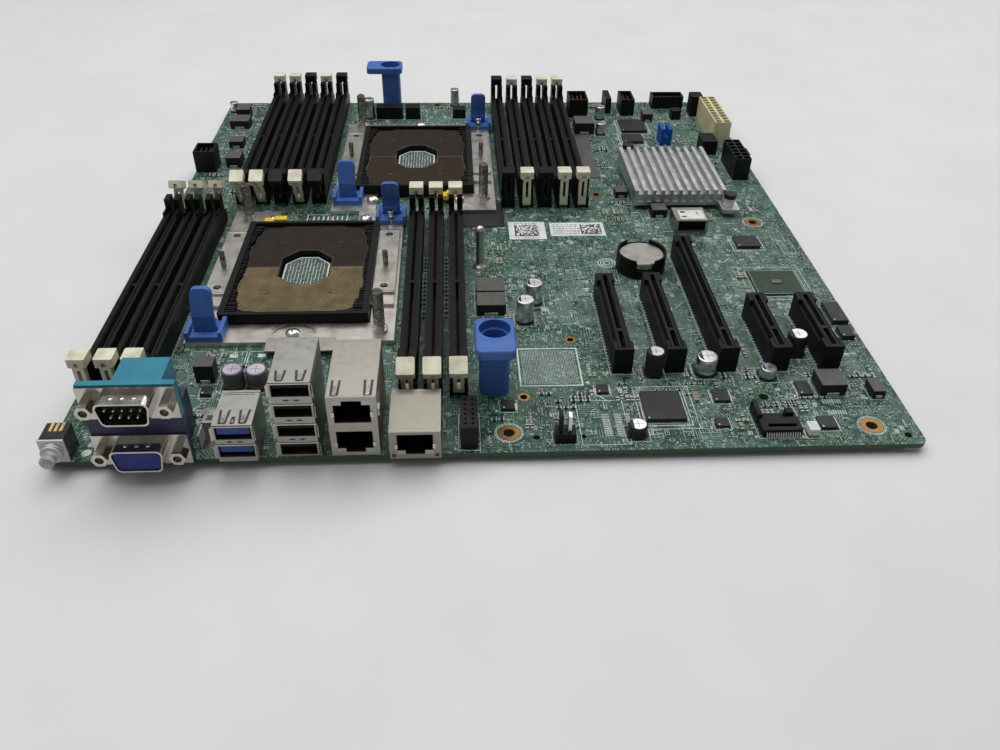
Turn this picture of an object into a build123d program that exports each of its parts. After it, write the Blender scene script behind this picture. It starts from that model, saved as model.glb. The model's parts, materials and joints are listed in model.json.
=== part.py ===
from build123d import *
import math
import os

# A two-socket server motherboard, in millimetres.
# Places are measured from the front left corner of the circuit board, with +X to the right,
# +Y to the back and Z = 0 on the board's top face. Every part is moved once, on export, so that
# the origin is the axis of the front right mounting hole at the board's underside.

# ---- circuit board -----------------------------------------------------------------------
BOARD_X = 304.8
BOARD_Y = 330.2
BOARD_THICK = 2.0
BOARD_CORNER_R = 3.0
HOLE_INSET_X = 16.51
HOLE_INSET_Y = 10.16
HOLE_ROW_PITCH = 154.94
FRONT_HOLE_SPAN = 130.81
MOUNT_HOLE_R = 2.0
DATUM_X = BOARD_X - HOLE_INSET_X
DATUM_Y = HOLE_INSET_Y
MOUNT_HOLES = [(DATUM_X, DATUM_Y), (DATUM_X, DATUM_Y + HOLE_ROW_PITCH), (DATUM_X - FRONT_HOLE_SPAN, DATUM_Y)]
# (x, y, radius) of the smaller guide and tooling holes
SMALL_HOLES = [(213.9, 197.3, 1.6), (129.6, 326.1, 1.6), (185.5, 66.2, 1.3), (164.1, 30.0, 1.3),
               (253.8, 27.5, 1.8), (299.5, 4.7, 1.4), (167.0, 7.5, 1.2), (183.5, 7.5, 1.2)]

# ---- memory sockets ----------------------------------------------------------------------
SOCKET_LENGTH = 142.0
SOCKET_WIDTH = 6.8
SOCKET_HEIGHT = 9.5
SOCKET_GROOVE = 1.6
SOCKET_FLOOR = 3.0
TOWER_START = 3.3
TOWER_END = 9.5
TOWER_TOP = 15.4
CHEEK_THICK = 1.1
CHEEK_TOP = 6.0
CHEEK_END_GAP = 0.3
LATCH_PIVOT_IN = 1.7
LATCH_PIVOT_Z = 2.2
LATCH_FOOT_R = 1.3
TRUNNION_R = 0.6
TRUNNION_REACH = 3.0
TRUNNION_CLEARANCE = 0.08
LATCH_ARM_WIDTH = 4.0
LATCH_ARM_IN = 0.4
LATCH_ARM_OUT = 3.0
LATCH_SLOT = 1.3
LATCH_SLOT_RISE = 3.0
LATCH_SLOT_DROP = 1.5
LATCH_HEAD_BOTTOM = 15.9
LATCH_HEAD_TOP = 19.5
LATCH_HEAD_DEPTH = 7.0
LATCH_HEAD_WIDTH = 6.6
LATCH_NOTCH_WIDTH = 1.7
LATCH_NOTCH_DEPTH = 1.2
LATCH_NOTCH_HEIGHT = 2.0
LATCH_OPEN_DEG = 28.0
# bank: (first socket X, pitch, count, front end Y, front latches open, back latches open)
BANKS = {
    "a": (5.7, 9.5, 3, 31.0, False, True),
    "b": (121.3, 9.4, 3, 31.0, True, False),
    "c": (32.8, 9.5, 5, 188.2, True, False),
    "d": (166.7, 9.4, 5, 182.0, False, False),
}

# ---- processor sockets -------------------------------------------------------------------
# each: (centre X, centre Y, turn in degrees); the two sockets are turned half round to each other
CPU_SOCKETS = {"front": (73.3, 117.6, 0), "rear": (119.1, 235.5, 180)}
CPU_FRAME_X = 61.0
CPU_FRAME_Y = 80.0
CPU_FRAME_TOP = 6.8
CPU_WELL_X = 55.6
CPU_WELL_Y = 76.0
CPU_WELL_FLOOR = 5.0
CPU_WINDOW_X = 22.0
CPU_WINDOW_Y = 29.0
CPU_WINDOW_CUT = 7.0
PLATE_HALF_X = 41.3
PLATE_WIDE_END = 53.0
PLATE_OPEN_FROM = 40.0
PLATE_EAR_END = 59.0
PLATE_EAR_X = 19.0
PLATE_THICK = 2.2
PLATE_GAP = 0.4
SPRING_X = 35.4
SPRING_WIDTH = 9.4
SPRING_FRONT = -19.6
SPRING_BACK = 34.3
SPRING_TOP = 4.6
SPRING_THICK = 1.4
SPRING_HOLE_R = 1.7
SPRING_HOLE_INSET = 4.2
SPRING_FRONT_FOOT = 2.5
SPRING_BACK_FOOT = 3.0
SPRING_TOE = 9.0
SPRING_PIN_Y = 0.5
SPRING_PIN_R = 1.2
SPRING_PIN_TOP = 12.6
# the four heatsink corners sit on this rectangle, set a little right and back of the socket's centre
CORNER_SPAN_X = 68.6
CORNER_SPAN_Y = 96.5
CORNER_SHIFT_X = 1.0
CORNER_SHIFT_Y = 2.8
POST_R = 2.3
POST_TOP = 21.0
POST_FOOT_RIM = 1.2
SCREW_Y = 48.6
SCREW_SPAN_X = 44.0
SCREW_HEAD_R = 2.9
SCREW_SKIRT = 1.4
SCREW_HEAD_H = 3.2
SCREW_DOME_R = 3.52
SCREW_DOME_DROP = 2.0
SCREW_RECESS = (3.2, 0.8, 1.4)
BACKPLATE_THICK = 2.4
BACKPLATE_MARGIN_X = 5.0
BACKPLATE_MARGIN_Y = 4.0

# ---- blue retention clips ----------------------------------------------------------------
CLIP_BASE_X = 14.6
CLIP_BASE_Y = 13.6
CLIP_BASE_H = 4.4
CLIP_WALL = 1.6
CLIP_WALL_H = 6.4
CLIP_LEVER_W = 8.4
CLIP_LEVER_T = 2.4
CLIP_LEVER_BEND_Z = 11.5
CLIP_LEVER_TOP = 22.0
CLIP_LEVER_ROUND = 2.6
CLIP_LEVER_OUT = 1.5
CLIP_LEAN = 3.6
CLIP_PIVOT_Z = 3.9
CLIP_SLOT_GAP = 0.35
CLIP_CATCH_DROP = 4.0
CLIP_CATCH = (CLIP_LEVER_W - 2.0, 2.2, 2.4)
CLIP_CATCH_OUT = 0.9

# ---- expansion slots ---------------------------------------------------------------------
SLOT_FIRST_X = 203.0
SLOT_PITCH = 20.32
SLOT_FRONT_Y = 43.3
SLOT_WIDTH = 7.5
SLOT_HEIGHT = 11.25
SLOT_LENGTHS = [56.0, 56.0, 89.0, 39.0, 39.0]
SLOT_GROOVE = 1.9
SLOT_KEY_FROM_FRONT = 12.5
SLOT_KEY_LENGTH = 1.9
SLOT_GROOVE_FLOOR = 2.5
SLOT_END_WALL = 1.7
SLOT_SHOULDER_DROP = 2.2
SLOT_SHOULDER_IN = 1.3
SLOT_SHOULDER_START = 6.0

# ---- battery and chipset heatsink --------------------------------------------------------
BATTERY = (223.8, 122.4)
BATTERY_HOLDER_R = 11.1
BATTERY_HOLDER_H = 9.0
CELL_R = 10.0
CELL_BOTTOM = 4.2
CELL_THICK = 3.2
CELL_CLEARANCE = 0.4
HOLDER_FRONT_GAP = 8.0
HOLDER_BACK_GAP = 10.0
HEATSINK_X = (230.6, 277.2)
HEATSINK_Y = (179.6, 234.0)
HEATSINK_BASE = (2.4, 4.4)
HEATSINK_GAP_FLOOR = 7.2
HEATSINK_STEP = 2.4
HEATSINK_TOP = 10.6
FIN_COUNT = 11
FIN_THICK = 1.9
HEATSINK_EAR_X = 9.0
HEATSINK_EAR_Y = 12.0
PIN_INSET_RIGHT = -1.0
PIN_INSET_LEFT = 6.0
PIN_OUT_Y = 3.8
PUSH_PIN_R = 1.6
PUSH_PIN_CLEARANCE = 0.3
PUSH_PIN_SLEEVE_R = 2.6
PUSH_PIN_HEAD_R = 3.1
PUSH_PIN_HEAD = (8.4, 10.6)

# ---- chips, inductors and capacitors -----------------------------------------------------
# x0, x1, y0, y1, height of each flat chip
CHIPS = [
    (207.3, 222.0, 14.2, 30.5, 1.6), (155.5, 160.4, 22.1, 27.4, 1.1), (234.5, 240.6, 24.6, 31.3, 1.1),
    (232.0, 236.6, 10.4, 14.9, 1.1), (267.6, 272.8, 27.6, 35.6, 1.1), (269.2, 275.4, 8.4, 14.8, 1.1),
    (191.6, 196.0, 30.6, 35.4, 1.1), (273.4, 284.6, 138.4, 148.6, 1.6), (271.8, 293.6, 97.2, 117.5, 1.6),
    (296.4, 303.2, 74.0, 88.4, 2.2), (296.4, 301.8, 63.0, 70.2, 2.2), (240.6, 256.0, 279.4, 297.0, 1.6),
    (239.4, 251.0, 263.2, 274.6, 1.6), (45.0, 49.0, 33.4, 37.8, 1.4), (236.0, 272.0, 188.0, 226.0, 2.3),
]
# x0, x1, y0, y1, height of each moulded power inductor or small block
INDUCTORS = [
    (148.3, 160.3, 84.4, 94.6, 5.4), (148.3, 160.3, 95.6, 105.8, 5.4), (275.1, 284.9, 27.4, 37.6, 5.1),
    (41.8, 49.0, 41.5, 48.0, 8.0), (212.0, 223.4, 277.6, 289.4, 6.9), (7.0, 18.2, 287.6, 298.0, 5.0),
    (11.9, 19.8, 259.2, 267.4, 4.2), (15.5, 23.5, 233.0, 242.6, 5.8), (223.3, 229.6, 193.0, 199.6, 3.6),
    (238.4, 246.0, 170.6, 178.4, 4.4), (256.0, 262.2, 296.6, 304.0, 5.0), (263.4, 267.2, 4.8, 9.8, 3.2),
    (294.4, 299.2, 25.4, 33.4, 3.4), (8.0, 16.0, 303.4, 312.0, 6.0),
]
# x, y, radius, height of each round capacitor
CAPACITORS = [
    (56.5, 40.2, 4.1, 7.6), (65.3, 40.0, 4.1, 7.6), (172.7, 94.6, 3.7, 9.9), (168.0, 80.6, 3.7, 10.6),
    (215.0, 43.2, 3.6, 10.6), (235.4, 43.6, 4.2, 7.6), (258.6, 39.8, 3.2, 4.6), (274.0, 55.0, 4.0, 9.4),
    (230.2, 302.4, 3.0, 8.0), (227.4, 278.6, 3.0, 7.0), (88.4, 305.0, 3.3, 12.0), (140.8, 325.4, 2.8, 10.6),
    (202.8, 8.4, 3.5, 4.6), (4.6, 316.0, 2.6, 6.0),
]
CAPACITOR_FOOT = 0.8
CAPACITOR_EDGE_R = 0.6

# ---- cable connectors --------------------------------------------------------------------
# x0, x1, y0, y1, height of each small solid connector, and of each header that is open at the top
PLAIN_PLUGS = [
    (281.4, 289.8, 247.0, 259.6, 8.0), (287.4, 294.6, 305.6, 314.6, 12.4), (274.6, 280.4, 300.0, 306.4, 5.6),
    (92.8, 108.6, 302.2, 309.4, 7.2), (110.6, 119.2, 302.2, 309.4, 7.2), (139.4, 147.2, 303.4, 310.4, 5.4),
    (234.7, 238.3, 310.8, 326.4, 9.3),
]
SHROUDED_HEADERS = [
    (211.2, 222.7, 304.0, 320.0, 11.2), (244.0, 252.2, 306.8, 323.0, 10.1), (265.8, 285.6, 318.8, 328.0, 7.6),
    (0.4, 11.2, 227.6, 239.8, 11.6),
]
SHROUD_WALL = 1.0
SHROUD_FLOOR = 2.0
# the two wire connectors: x0, x1, y0, y1, height of the shell, then the corners of the clip ridge
MAIN_POWER = (291.2, 300.6, 261.6, 303.4, 13.4)
MAIN_POWER_COLUMNS = 10
MAIN_POWER_RIDGE = (300.6, 302.0, 280.0, 285.0, 3.0, 11.0)
SIDE_POWER = (290.8, 299.2, 213.4, 239.8, 12.2)
SIDE_POWER_COLUMNS = 6
SIDE_POWER_RIDGE = (299.2, 301.0, 222.0, 231.0, 2.0, 11.0)
POWER_ROWS = 2
POWER_HOLE = 3.2
POWER_HOLE_FLOOR = 4.0
TALL_HEADER = (140.5, 146.4, 2.2, 19.6, 9.6)
TALL_HEADER_FIRST = (142.2, 4.6)
TALL_HEADER_CONTACTS = 6
TALL_HEADER_FLOOR = 5.0
HEADER_PITCH = 2.54
HEADER_HOLE_R = 0.5
# x0, x1, y0, y1, z0, z1 of the boxes that make up each odd-shaped connector: the low drive-cable
# socket with its metal end posts, the connector with two upright prongs, and the blue header
DRIVE_CONNECTOR = [(246.8, 261.0, 5.2, 12.2, 0, 3.2), (246.8, 262.0, 12.2, 17.0, 0, 1.0),
                   (246.6, 248.2, 12.2, 21.0, 0, 4.4), (257.4, 260.0, 13.6, 16.4, 1.0, 4.0)]
DRIVE_SLOT = (249.2, 259.4, 7.0, 8.6, 1.4, 3.2)
UPRIGHT_CONNECTOR = [(173.4, 180.6, 4.0, 9.4, 0, 4.0), (174.6, 175.8, 5.0, 8.4, 4.0, 11.6),
                     (177.8, 178.8, 5.4, 8.0, 4.0, 10.8)]
BLUE_HEADER = (260.0, 266.4, 260.6, 271.6, 0, 9.6)
BLUE_HEADER_SLOT = (262.0, 264.4, 260.6, 271.6, 5.0, 9.6)

# ---- front ports (on the edge that faces out of the case) --------------------------------
DSUB_X = 35.6
DSUB_FLANGE_W = 30.8
DSUB_FLANGE_H = 12.6
DSUB_FLANGE_Y = -2.5
DSUB_FLANGE_T = 0.8
DSUB_SCREW_SPAN = 25.0
DSUB_REACH = 6.0
SERIAL_Z = 26.8
VGA_Z = 7.0
DSUB_LIP_T = 2.4
DSUB_LIP_OVER = 0.6
# x0, x1, back Y and top Z of the housing behind the flanges; the serial half stands on the video half
VIDEO_BODY = (26.1, 47.1, 18.0, 17.0)
SERIAL_BODY = (31.2, 46.6, 12.6)
D_SLEEVE_W = 17.6
D_SLEEVE_H = 9.0
D_SLEEVE_WALL = 0.6
D_FILL_GAP = 0.1
D_SLOPE_DEG = 10.0
SERIAL_FILL = 2.2
DSUB_NUT = 4.8
DSUB_NUT_REACH = 5.0
DSUB_THREAD_R = 1.4
DSUB_THREAD_DEPTH = 4.0
ID_X = 5.5
ID_Z = 5.4
ID_CAP_R = 2.4
ID_CAP_OUT = 7.4
ID_TRAVEL = 1.0
ID_CLEARANCE = 0.1
ID_BODY = (1.5, 9.5, 0.3, 9.0, 9.6)
ID_COLLAR_R = 3.4
ID_PLATE_T = 0.7
ID_COLLAR_OUT = 3.0
ID_BORE_DEPTH = 4.0
ID_REST_GAP = 0.3
USB_WALL = 0.6
# x0, x1, front Y, back Y, height, and the low and high Z of each port opening
USB_BLUE = (59.2, 72.2, -1.5, 16.8, 16.0, [(2.0, 7.2), (9.8, 15.2)])
USB_BLACK = (79.2, 92.6, 0.4, 25.4, 31.8, [(0.8, 5.9), (9.0, 14.1), (17.4, 22.5), (26.0, 31.1)])
LAN_DUAL = (96.8, 113.1, 0.2, 32.6, 25.5, [(1.6, 10.8), (14.6, 23.8)])
LAN_SINGLE = (116.4, 133.8, -1.9, 21.0, 11.8, [(2.0, 10.6)])
USB_DEPTH = 11.0
LAN_DEPTH = 13.0
LAN_PORT_WIDTH = 12.2
INNER_USB = (247.0, 262.6, 155.0, 168.6, 6.6)
INNER_USB_WALL = 1.2
INNER_USB_FLOOR = 1.0
USB_TONGUE_GAP = 1.0
USB_TONGUE_RISE = 0.6
USB_TONGUE_THICK = 1.6
LAN_CONTACT_WIDTH = 9.0
LAN_CONTACT_DEPTH = 3.0
LAN_CONTACT_HEIGHT = 5.0

# ---- tray handles ------------------------------------------------------------------------
HANDLE_TOP = 26.5
HANDLE_POST = 11.2
HANDLE_POST_R = 3.5
HANDLE_FLANGE_T = 3.6
HANDLE_FLANGE_NEAR = 7.2
HANDLE_FLANGE_FAR = 14.3
HANDLE_FLANGE_R = 2.6
HANDLE_FLOOR = 6.0
HANDLE_BORE_R = 5.8
HANDLE_POST_BORE_R = 4.7
FRONT_HANDLE = (153.3, 36.6)
REAR_HANDLE = (101.5, 323.6)


def block(x0, x1, y0, y1, z0, z1):
    """An upright box between two corners."""
    size = Box(x1 - x0, y1 - y0, z1 - z0)
    return Pos((x0 + x1) / 2, (y0 + y1) / 2, (z0 + z1) / 2) * size


def rounded_block(x0, x1, y0, y1, z0, z1, radius):
    """An upright box whose four upright edges are rounded."""
    outline = RectangleRounded(x1 - x0, y1 - y0, radius)
    return Pos((x0 + x1) / 2, (y0 + y1) / 2, z0) * extrude(outline, z1 - z0)


def upright(x, y, z0, z1, radius):
    """An upright round bar."""
    return Pos(x, y, (z0 + z1) / 2) * Cylinder(radius, z1 - z0)


def along_y(x, z, y0, y1, radius):
    """A round bar that points to the back."""
    return Pos(x, (y0 + y1) / 2, z) * Rot(90, 0, 0) * Cylinder(radius, y1 - y0)


def along_x(y, z, x0, x1, radius):
    """A round bar that points to the right."""
    return Pos((x0 + x1) / 2, y, z) * Rot(0, 90, 0) * Cylinder(radius, x1 - x0)


def hex_bar(x, z, y0, y1, across_flats):
    """A hexagonal bar that points to the back."""
    outline = RegularPolygon(across_flats / 2, 6, major_radius=False)
    return Pos(x, y1, z) * Rot(90, 0, 0) * extrude(outline, y1 - y0)


def save(node, solids):
    """Moves a node's solids to the datum and writes them."""
    shape = solids if isinstance(solids, list) else [solids]
    moved = [Pos(-DATUM_X, -DATUM_Y, BOARD_THICK) * piece for piece in shape]
    whole = Compound(children=moved) if len(moved) > 1 else moved[0]
    export_step(whole, f"parts/{node}.step")


# ---- circuit board -----------------------------------------------------------------------
def circuit_board():
    board = rounded_block(0, BOARD_X, 0, BOARD_Y, -BOARD_THICK, 0, BOARD_CORNER_R)
    for x, y in MOUNT_HOLES:
        board -= upright(x, y, -BOARD_THICK, 0, MOUNT_HOLE_R)
    for x, y, radius in SMALL_HOLES:
        board -= upright(x, y, -BOARD_THICK, 0, radius)
    return board


# ---- memory sockets and their latches ----------------------------------------------------
def memory_socket(x, front_y):
    """One black housing: a grooved bar with a forked tower and latch cheeks at each end."""
    middle = front_y + SOCKET_LENGTH / 2
    half = SOCKET_WIDTH / 2
    bar_end = front_y + TOWER_END
    back = front_y + SOCKET_LENGTH
    housing = block(x - half, x + half, bar_end, back - TOWER_END, 0, SOCKET_HEIGHT)
    for side in (-1, 1):
        outer = middle + side * SOCKET_LENGTH / 2
        tower_out = outer - side * TOWER_START
        tower_in = outer - side * TOWER_END
        housing += block(x - half, x + half, min(tower_out, tower_in), max(tower_out, tower_in), 0, TOWER_TOP)
        cheek_out = outer - side * CHEEK_END_GAP
        for hand in (-1, 1):
            inner = x + hand * (half - CHEEK_THICK)
            edge = x + hand * half
            housing += block(min(inner, edge), max(inner, edge), min(cheek_out, tower_out),
                             max(cheek_out, tower_out), 0, CHEEK_TOP)
        pivot_y = outer - side * LATCH_PIVOT_IN
        hole_r = TRUNNION_R + TRUNNION_CLEARANCE
        housing -= along_x(pivot_y, LATCH_PIVOT_Z, x - TRUNNION_REACH, x + TRUNNION_REACH, hole_r)
    groove = SOCKET_GROOVE / 2
    housing -= block(x - groove, x + groove, front_y, back, SOCKET_FLOOR, TOWER_TOP)
    return housing


def memory_latch(x, end_y, inward, is_open):
    """One hinged latch at a socket's end; inward is +1 at the front end and -1 at the back end."""
    half = LATCH_ARM_WIDTH / 2
    near = end_y + inward * LATCH_ARM_IN
    far = end_y + inward * LATCH_ARM_OUT
    pivot_y = end_y + inward * LATCH_PIVOT_IN
    arm = block(x - half, x + half, min(near, far), max(near, far), LATCH_PIVOT_Z, LATCH_HEAD_BOTTOM)
    arm += along_x(pivot_y, LATCH_PIVOT_Z, x - half, x + half, LATCH_FOOT_R)
    pin_end = TRUNNION_REACH - TRUNNION_CLEARANCE
    arm += along_x(pivot_y, LATCH_PIVOT_Z, x - pin_end, x + pin_end, TRUNNION_R)
    slot_low = LATCH_PIVOT_Z + LATCH_SLOT_RISE
    slot_high = LATCH_HEAD_BOTTOM - LATCH_SLOT_DROP
    arm -= block(x - LATCH_SLOT / 2, x + LATCH_SLOT / 2, min(near, far), max(near, far), slot_low, slot_high)
    head_far = end_y + inward * LATCH_HEAD_DEPTH
    wide = LATCH_HEAD_WIDTH / 2
    head = block(x - wide, x + wide, min(end_y, head_far), max(end_y, head_far),
                 LATCH_HEAD_BOTTOM, LATCH_HEAD_TOP)
    head = fillet(head.edges().filter_by(Axis.Z), 0.6)
    latch = arm + head
    notch = LATCH_NOTCH_WIDTH / 2
    notch_top = LATCH_HEAD_BOTTOM + LATCH_NOTCH_HEIGHT
    for face, step in ((end_y, inward * LATCH_NOTCH_DEPTH), (head_far, -inward * LATCH_NOTCH_DEPTH)):
        latch -= block(x - notch, x + notch, min(face, face + step), max(face, face + step),
                       LATCH_HEAD_BOTTOM, notch_top)
    if is_open:
        latch = latch.rotate(Axis((x, pivot_y, LATCH_PIVOT_Z), (1, 0, 0)), inward * LATCH_OPEN_DEG)
    return latch


def bank_socket_places(bank):
    first_x, pitch, count, front_y, front_open, back_open = BANKS[bank]
    return [first_x + pitch * number for number in range(count)], front_y, front_open, back_open


def save_memory():
    for node, banks in (("memory_sockets_front", "ab"), ("memory_sockets_rear", "cd")):
        housings = []
        for bank in banks:
            places, front_y, front_open, back_open = bank_socket_places(bank)
            for number, x in enumerate(places, 1):
                housings.append(memory_socket(x, front_y))
                back_y = front_y + SOCKET_LENGTH
                save(f"memory_latch_{bank}{number}_front", memory_latch(x, front_y, 1, front_open))
                save(f"memory_latch_{bank}{number}_back", memory_latch(x, back_y, -1, back_open))
        save(node, housings)


# ---- processor sockets -------------------------------------------------------------------
def octagon_window():
    """The opening through a socket's middle, a rectangle with its corners cut off."""
    half_x = CPU_WINDOW_X / 2
    half_y = CPU_WINDOW_Y / 2
    cut = CPU_WINDOW_CUT
    corners = [(half_x - cut, -half_y), (half_x, cut - half_y),
               (half_x, half_y - cut), (half_x - cut, half_y),
               (cut - half_x, half_y), (-half_x, half_y - cut),
               (-half_x, cut - half_y), (cut - half_x, -half_y)]
    return extrude(make_face(Polyline(*corners, close=True)), CPU_FRAME_TOP)


def cpu_socket():
    frame = rounded_block(-CPU_FRAME_X / 2, CPU_FRAME_X / 2, -CPU_FRAME_Y / 2, CPU_FRAME_Y / 2,
                          0, CPU_FRAME_TOP, 1.5)
    frame -= block(-CPU_WELL_X / 2, CPU_WELL_X / 2, -CPU_WELL_Y / 2, CPU_WELL_Y / 2,
                   CPU_WELL_FLOOR, CPU_FRAME_TOP)
    return frame - octagon_window()


def bolster_plate():
    """The steel plate round a socket on three sides; it ends in two ears and is open between them."""
    outer = block(-PLATE_HALF_X, PLATE_HALF_X, -PLATE_WIDE_END, PLATE_EAR_END, 0, PLATE_THICK)
    outer -= block(-PLATE_EAR_X, PLATE_EAR_X, PLATE_OPEN_FROM, PLATE_EAR_END, 0, PLATE_THICK)
    half_x = CPU_FRAME_X / 2 + PLATE_GAP
    half_y = CPU_FRAME_Y / 2 + PLATE_GAP
    return outer - block(-half_x, half_x, -half_y, half_y, 0, PLATE_THICK)


def leaf_springs():
    """Both springs, which lie the same way round in either socket."""
    springs = []
    low = SPRING_TOP - SPRING_THICK
    for side in (-1, 1):
        x0 = side * SPRING_X - SPRING_WIDTH / 2
        x1 = side * SPRING_X + SPRING_WIDTH / 2
        spring = block(x0, x1, SPRING_FRONT, SPRING_BACK, low, SPRING_TOP)
        spring += block(x0, x1, SPRING_BACK - SPRING_BACK_FOOT, SPRING_BACK, PLATE_THICK, low)
        spring += block(x0, x1, SPRING_FRONT, SPRING_FRONT + SPRING_FRONT_FOOT, PLATE_THICK, low)
        spring += block(x0, x1, SPRING_FRONT - SPRING_TOE, SPRING_FRONT,
                        PLATE_THICK, PLATE_THICK + SPRING_THICK)
        for y in (SPRING_FRONT + SPRING_HOLE_INSET, SPRING_BACK - SPRING_HOLE_INSET):
            spring -= upright(side * SPRING_X, y, low - 1.0, SPRING_TOP, SPRING_HOLE_R)
        springs.append(spring)
    return springs


def heatsink_corner(side_x, side_y):
    """One of the four heatsink corners, seen from its socket's centre."""
    return CORNER_SHIFT_X + side_x * CORNER_SPAN_X / 2, CORNER_SHIFT_Y + side_y * CORNER_SPAN_Y / 2


def posts_and_screws(turn):
    """Two tall posts, two short spring pins and three dome-headed screws of one socket."""
    pieces = []
    for side in (-1, 1):
        x, y = heatsink_corner(side, -side)
        post = upright(x, y, PLATE_THICK, POST_TOP, POST_R)
        post += upright(x, y, PLATE_THICK, PLATE_THICK + POST_FOOT_RIM, POST_R + POST_FOOT_RIM)
        post = chamfer(post.edges().filter_by(GeomType.CIRCLE).sort_by(Axis.Z)[-1], 0.7)
        pieces.append(post)
        pieces.append(upright(side * SPRING_X, SPRING_PIN_Y, SPRING_TOP, SPRING_PIN_TOP, SPRING_PIN_R))
    single = -SCREW_Y if turn == 0 else SCREW_Y
    for x, y in ((0, single), (-SCREW_SPAN_X / 2, -single), (SCREW_SPAN_X / 2, -single)):
        pieces.append(dome_screw(CORNER_SHIFT_X + x, y, PLATE_THICK))
    return pieces


def dome_screw(x, y, z):
    """A pan-head screw seen from above: a low dome with a cross recess."""
    head = upright(x, y, z, z + SCREW_SKIRT, SCREW_HEAD_R)
    dome = Pos(x, y, z + SCREW_SKIRT - SCREW_DOME_DROP) * Sphere(SCREW_DOME_R)
    head += dome & upright(x, y, z + SCREW_SKIRT, z + SCREW_HEAD_H, SCREW_HEAD_R)
    for angle in (0, 90):
        head -= Pos(x, y, z + 2.4) * Rot(0, 0, angle) * Box(*SCREW_RECESS)
    return head


def backplate(centre_x, centre_y):
    """The steel plate under the board that a socket's screws pull against."""
    half_x = CORNER_SPAN_X / 2 + BACKPLATE_MARGIN_X
    half_y = CORNER_SPAN_Y / 2 + BACKPLATE_MARGIN_Y
    middle_x = centre_x + CORNER_SHIFT_X
    middle_y = centre_y + CORNER_SHIFT_Y
    low = -BOARD_THICK - BACKPLATE_THICK
    plate = rounded_block(middle_x - half_x, middle_x + half_x, middle_y - half_y, middle_y + half_y,
                          low, -BOARD_THICK, 4.0)
    opening_x = CPU_WINDOW_X / 2
    opening_y = CPU_WINDOW_Y / 2
    return plate - rounded_block(centre_x - opening_x, centre_x + opening_x, centre_y - opening_y,
                                 centre_y + opening_y, low, -BOARD_THICK, 2.0)


def clip_base(x, y, outward):
    """The fixed blue foot of a clip: a tray with two side walls, slotted where the lever stands."""
    half = CLIP_BASE_X / 2
    deep = CLIP_BASE_Y / 2
    foot = block(x - half, x + half, y - deep, y + deep, PLATE_THICK, CLIP_BASE_H)
    for side in (-1, 1):
        edge = x + side * half
        inner = edge - side * CLIP_WALL
        foot += block(min(edge, inner), max(edge, inner), y - deep, y + deep, CLIP_BASE_H, CLIP_WALL_H)
    reach = CLIP_LEVER_W / 2 + CLIP_SLOT_GAP
    slot = CLIP_LEVER_T / 2 + CLIP_SLOT_GAP
    lever_y = clip_lever_y(y, outward)
    return foot - block(x - reach, x + reach, lever_y - slot, lever_y + slot, PLATE_THICK, CLIP_BASE_H)


def clip_lever_y(y, outward):
    """The lever stands a little outside the middle of its foot."""
    return y + outward * CLIP_LEVER_OUT


def clip_lever(x, y, outward):
    """The springy tongue that is pushed outwards to let a processor module go; its top leans in."""
    half = CLIP_LEVER_W / 2
    thin = CLIP_LEVER_T / 2
    lean = -outward * CLIP_LEAN
    side = [(-thin, CLIP_PIVOT_Z), (-thin, CLIP_LEVER_BEND_Z), (lean - thin, CLIP_LEVER_TOP),
            (lean + thin, CLIP_LEVER_TOP), (thin, CLIP_LEVER_BEND_Z), (thin, CLIP_PIVOT_Z)]
    outline = make_face(Polyline(*side, close=True))
    lever = extrude(Plane.YZ * outline, half, both=True)
    lever = fillet(lever.edges().group_by(Axis.Z)[-1].filter_by(Axis.Y), CLIP_LEVER_ROUND)
    lever += along_x(0, CLIP_PIVOT_Z, -half, half, thin)
    catch_z = CLIP_LEVER_BEND_Z - CLIP_CATCH_DROP
    catch = Pos(0, -outward * (thin + CLIP_CATCH_OUT), catch_z) * Box(*CLIP_CATCH)
    return Pos(x, clip_lever_y(y, outward), 0) * (lever + catch)


def clip_place(name, side):
    """A clip's centre and its outward direction along Y; side -1 is front left, +1 back right."""
    centre_x, centre_y = CPU_SOCKETS[name][:2]
    x, y = heatsink_corner(side, side)
    return centre_x + x, centre_y + y, side


def save_processors():
    sockets, plates, backs, fasteners, bases = [], [], [], [], []
    for name, (x, y, turn) in CPU_SOCKETS.items():
        sockets.append(Pos(x, y, 0) * Rot(0, 0, turn) * cpu_socket())
        plates.append(Pos(x, y, 0) * Rot(0, 0, turn) * bolster_plate())
        plates += [Pos(x, y, 0) * spring for spring in leaf_springs()]
        backs.append(backplate(x, y))
        fasteners += [Pos(x, y, 0) * piece for piece in posts_and_screws(turn)]
        for side, end in ((-1, "left"), (1, "right")):
            clip_x, clip_y, outward = clip_place(name, side)
            frame_room = Pos(x, y, 0) * Box(CPU_FRAME_X + 2 * PLATE_GAP, CPU_FRAME_Y + 2 * PLATE_GAP,
                                            4 * CPU_FRAME_TOP)
            bases.append(clip_base(clip_x, clip_y, outward) - frame_room)
            save(f"retention_clip_{name}_{end}", clip_lever(clip_x, clip_y, outward))
    save("cpu_sockets", sockets)
    save("bolster_plates", plates)
    save("cpu_backplates", backs)
    save("socket_posts_and_screws", fasteners)
    save("clip_bases", bases)


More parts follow.
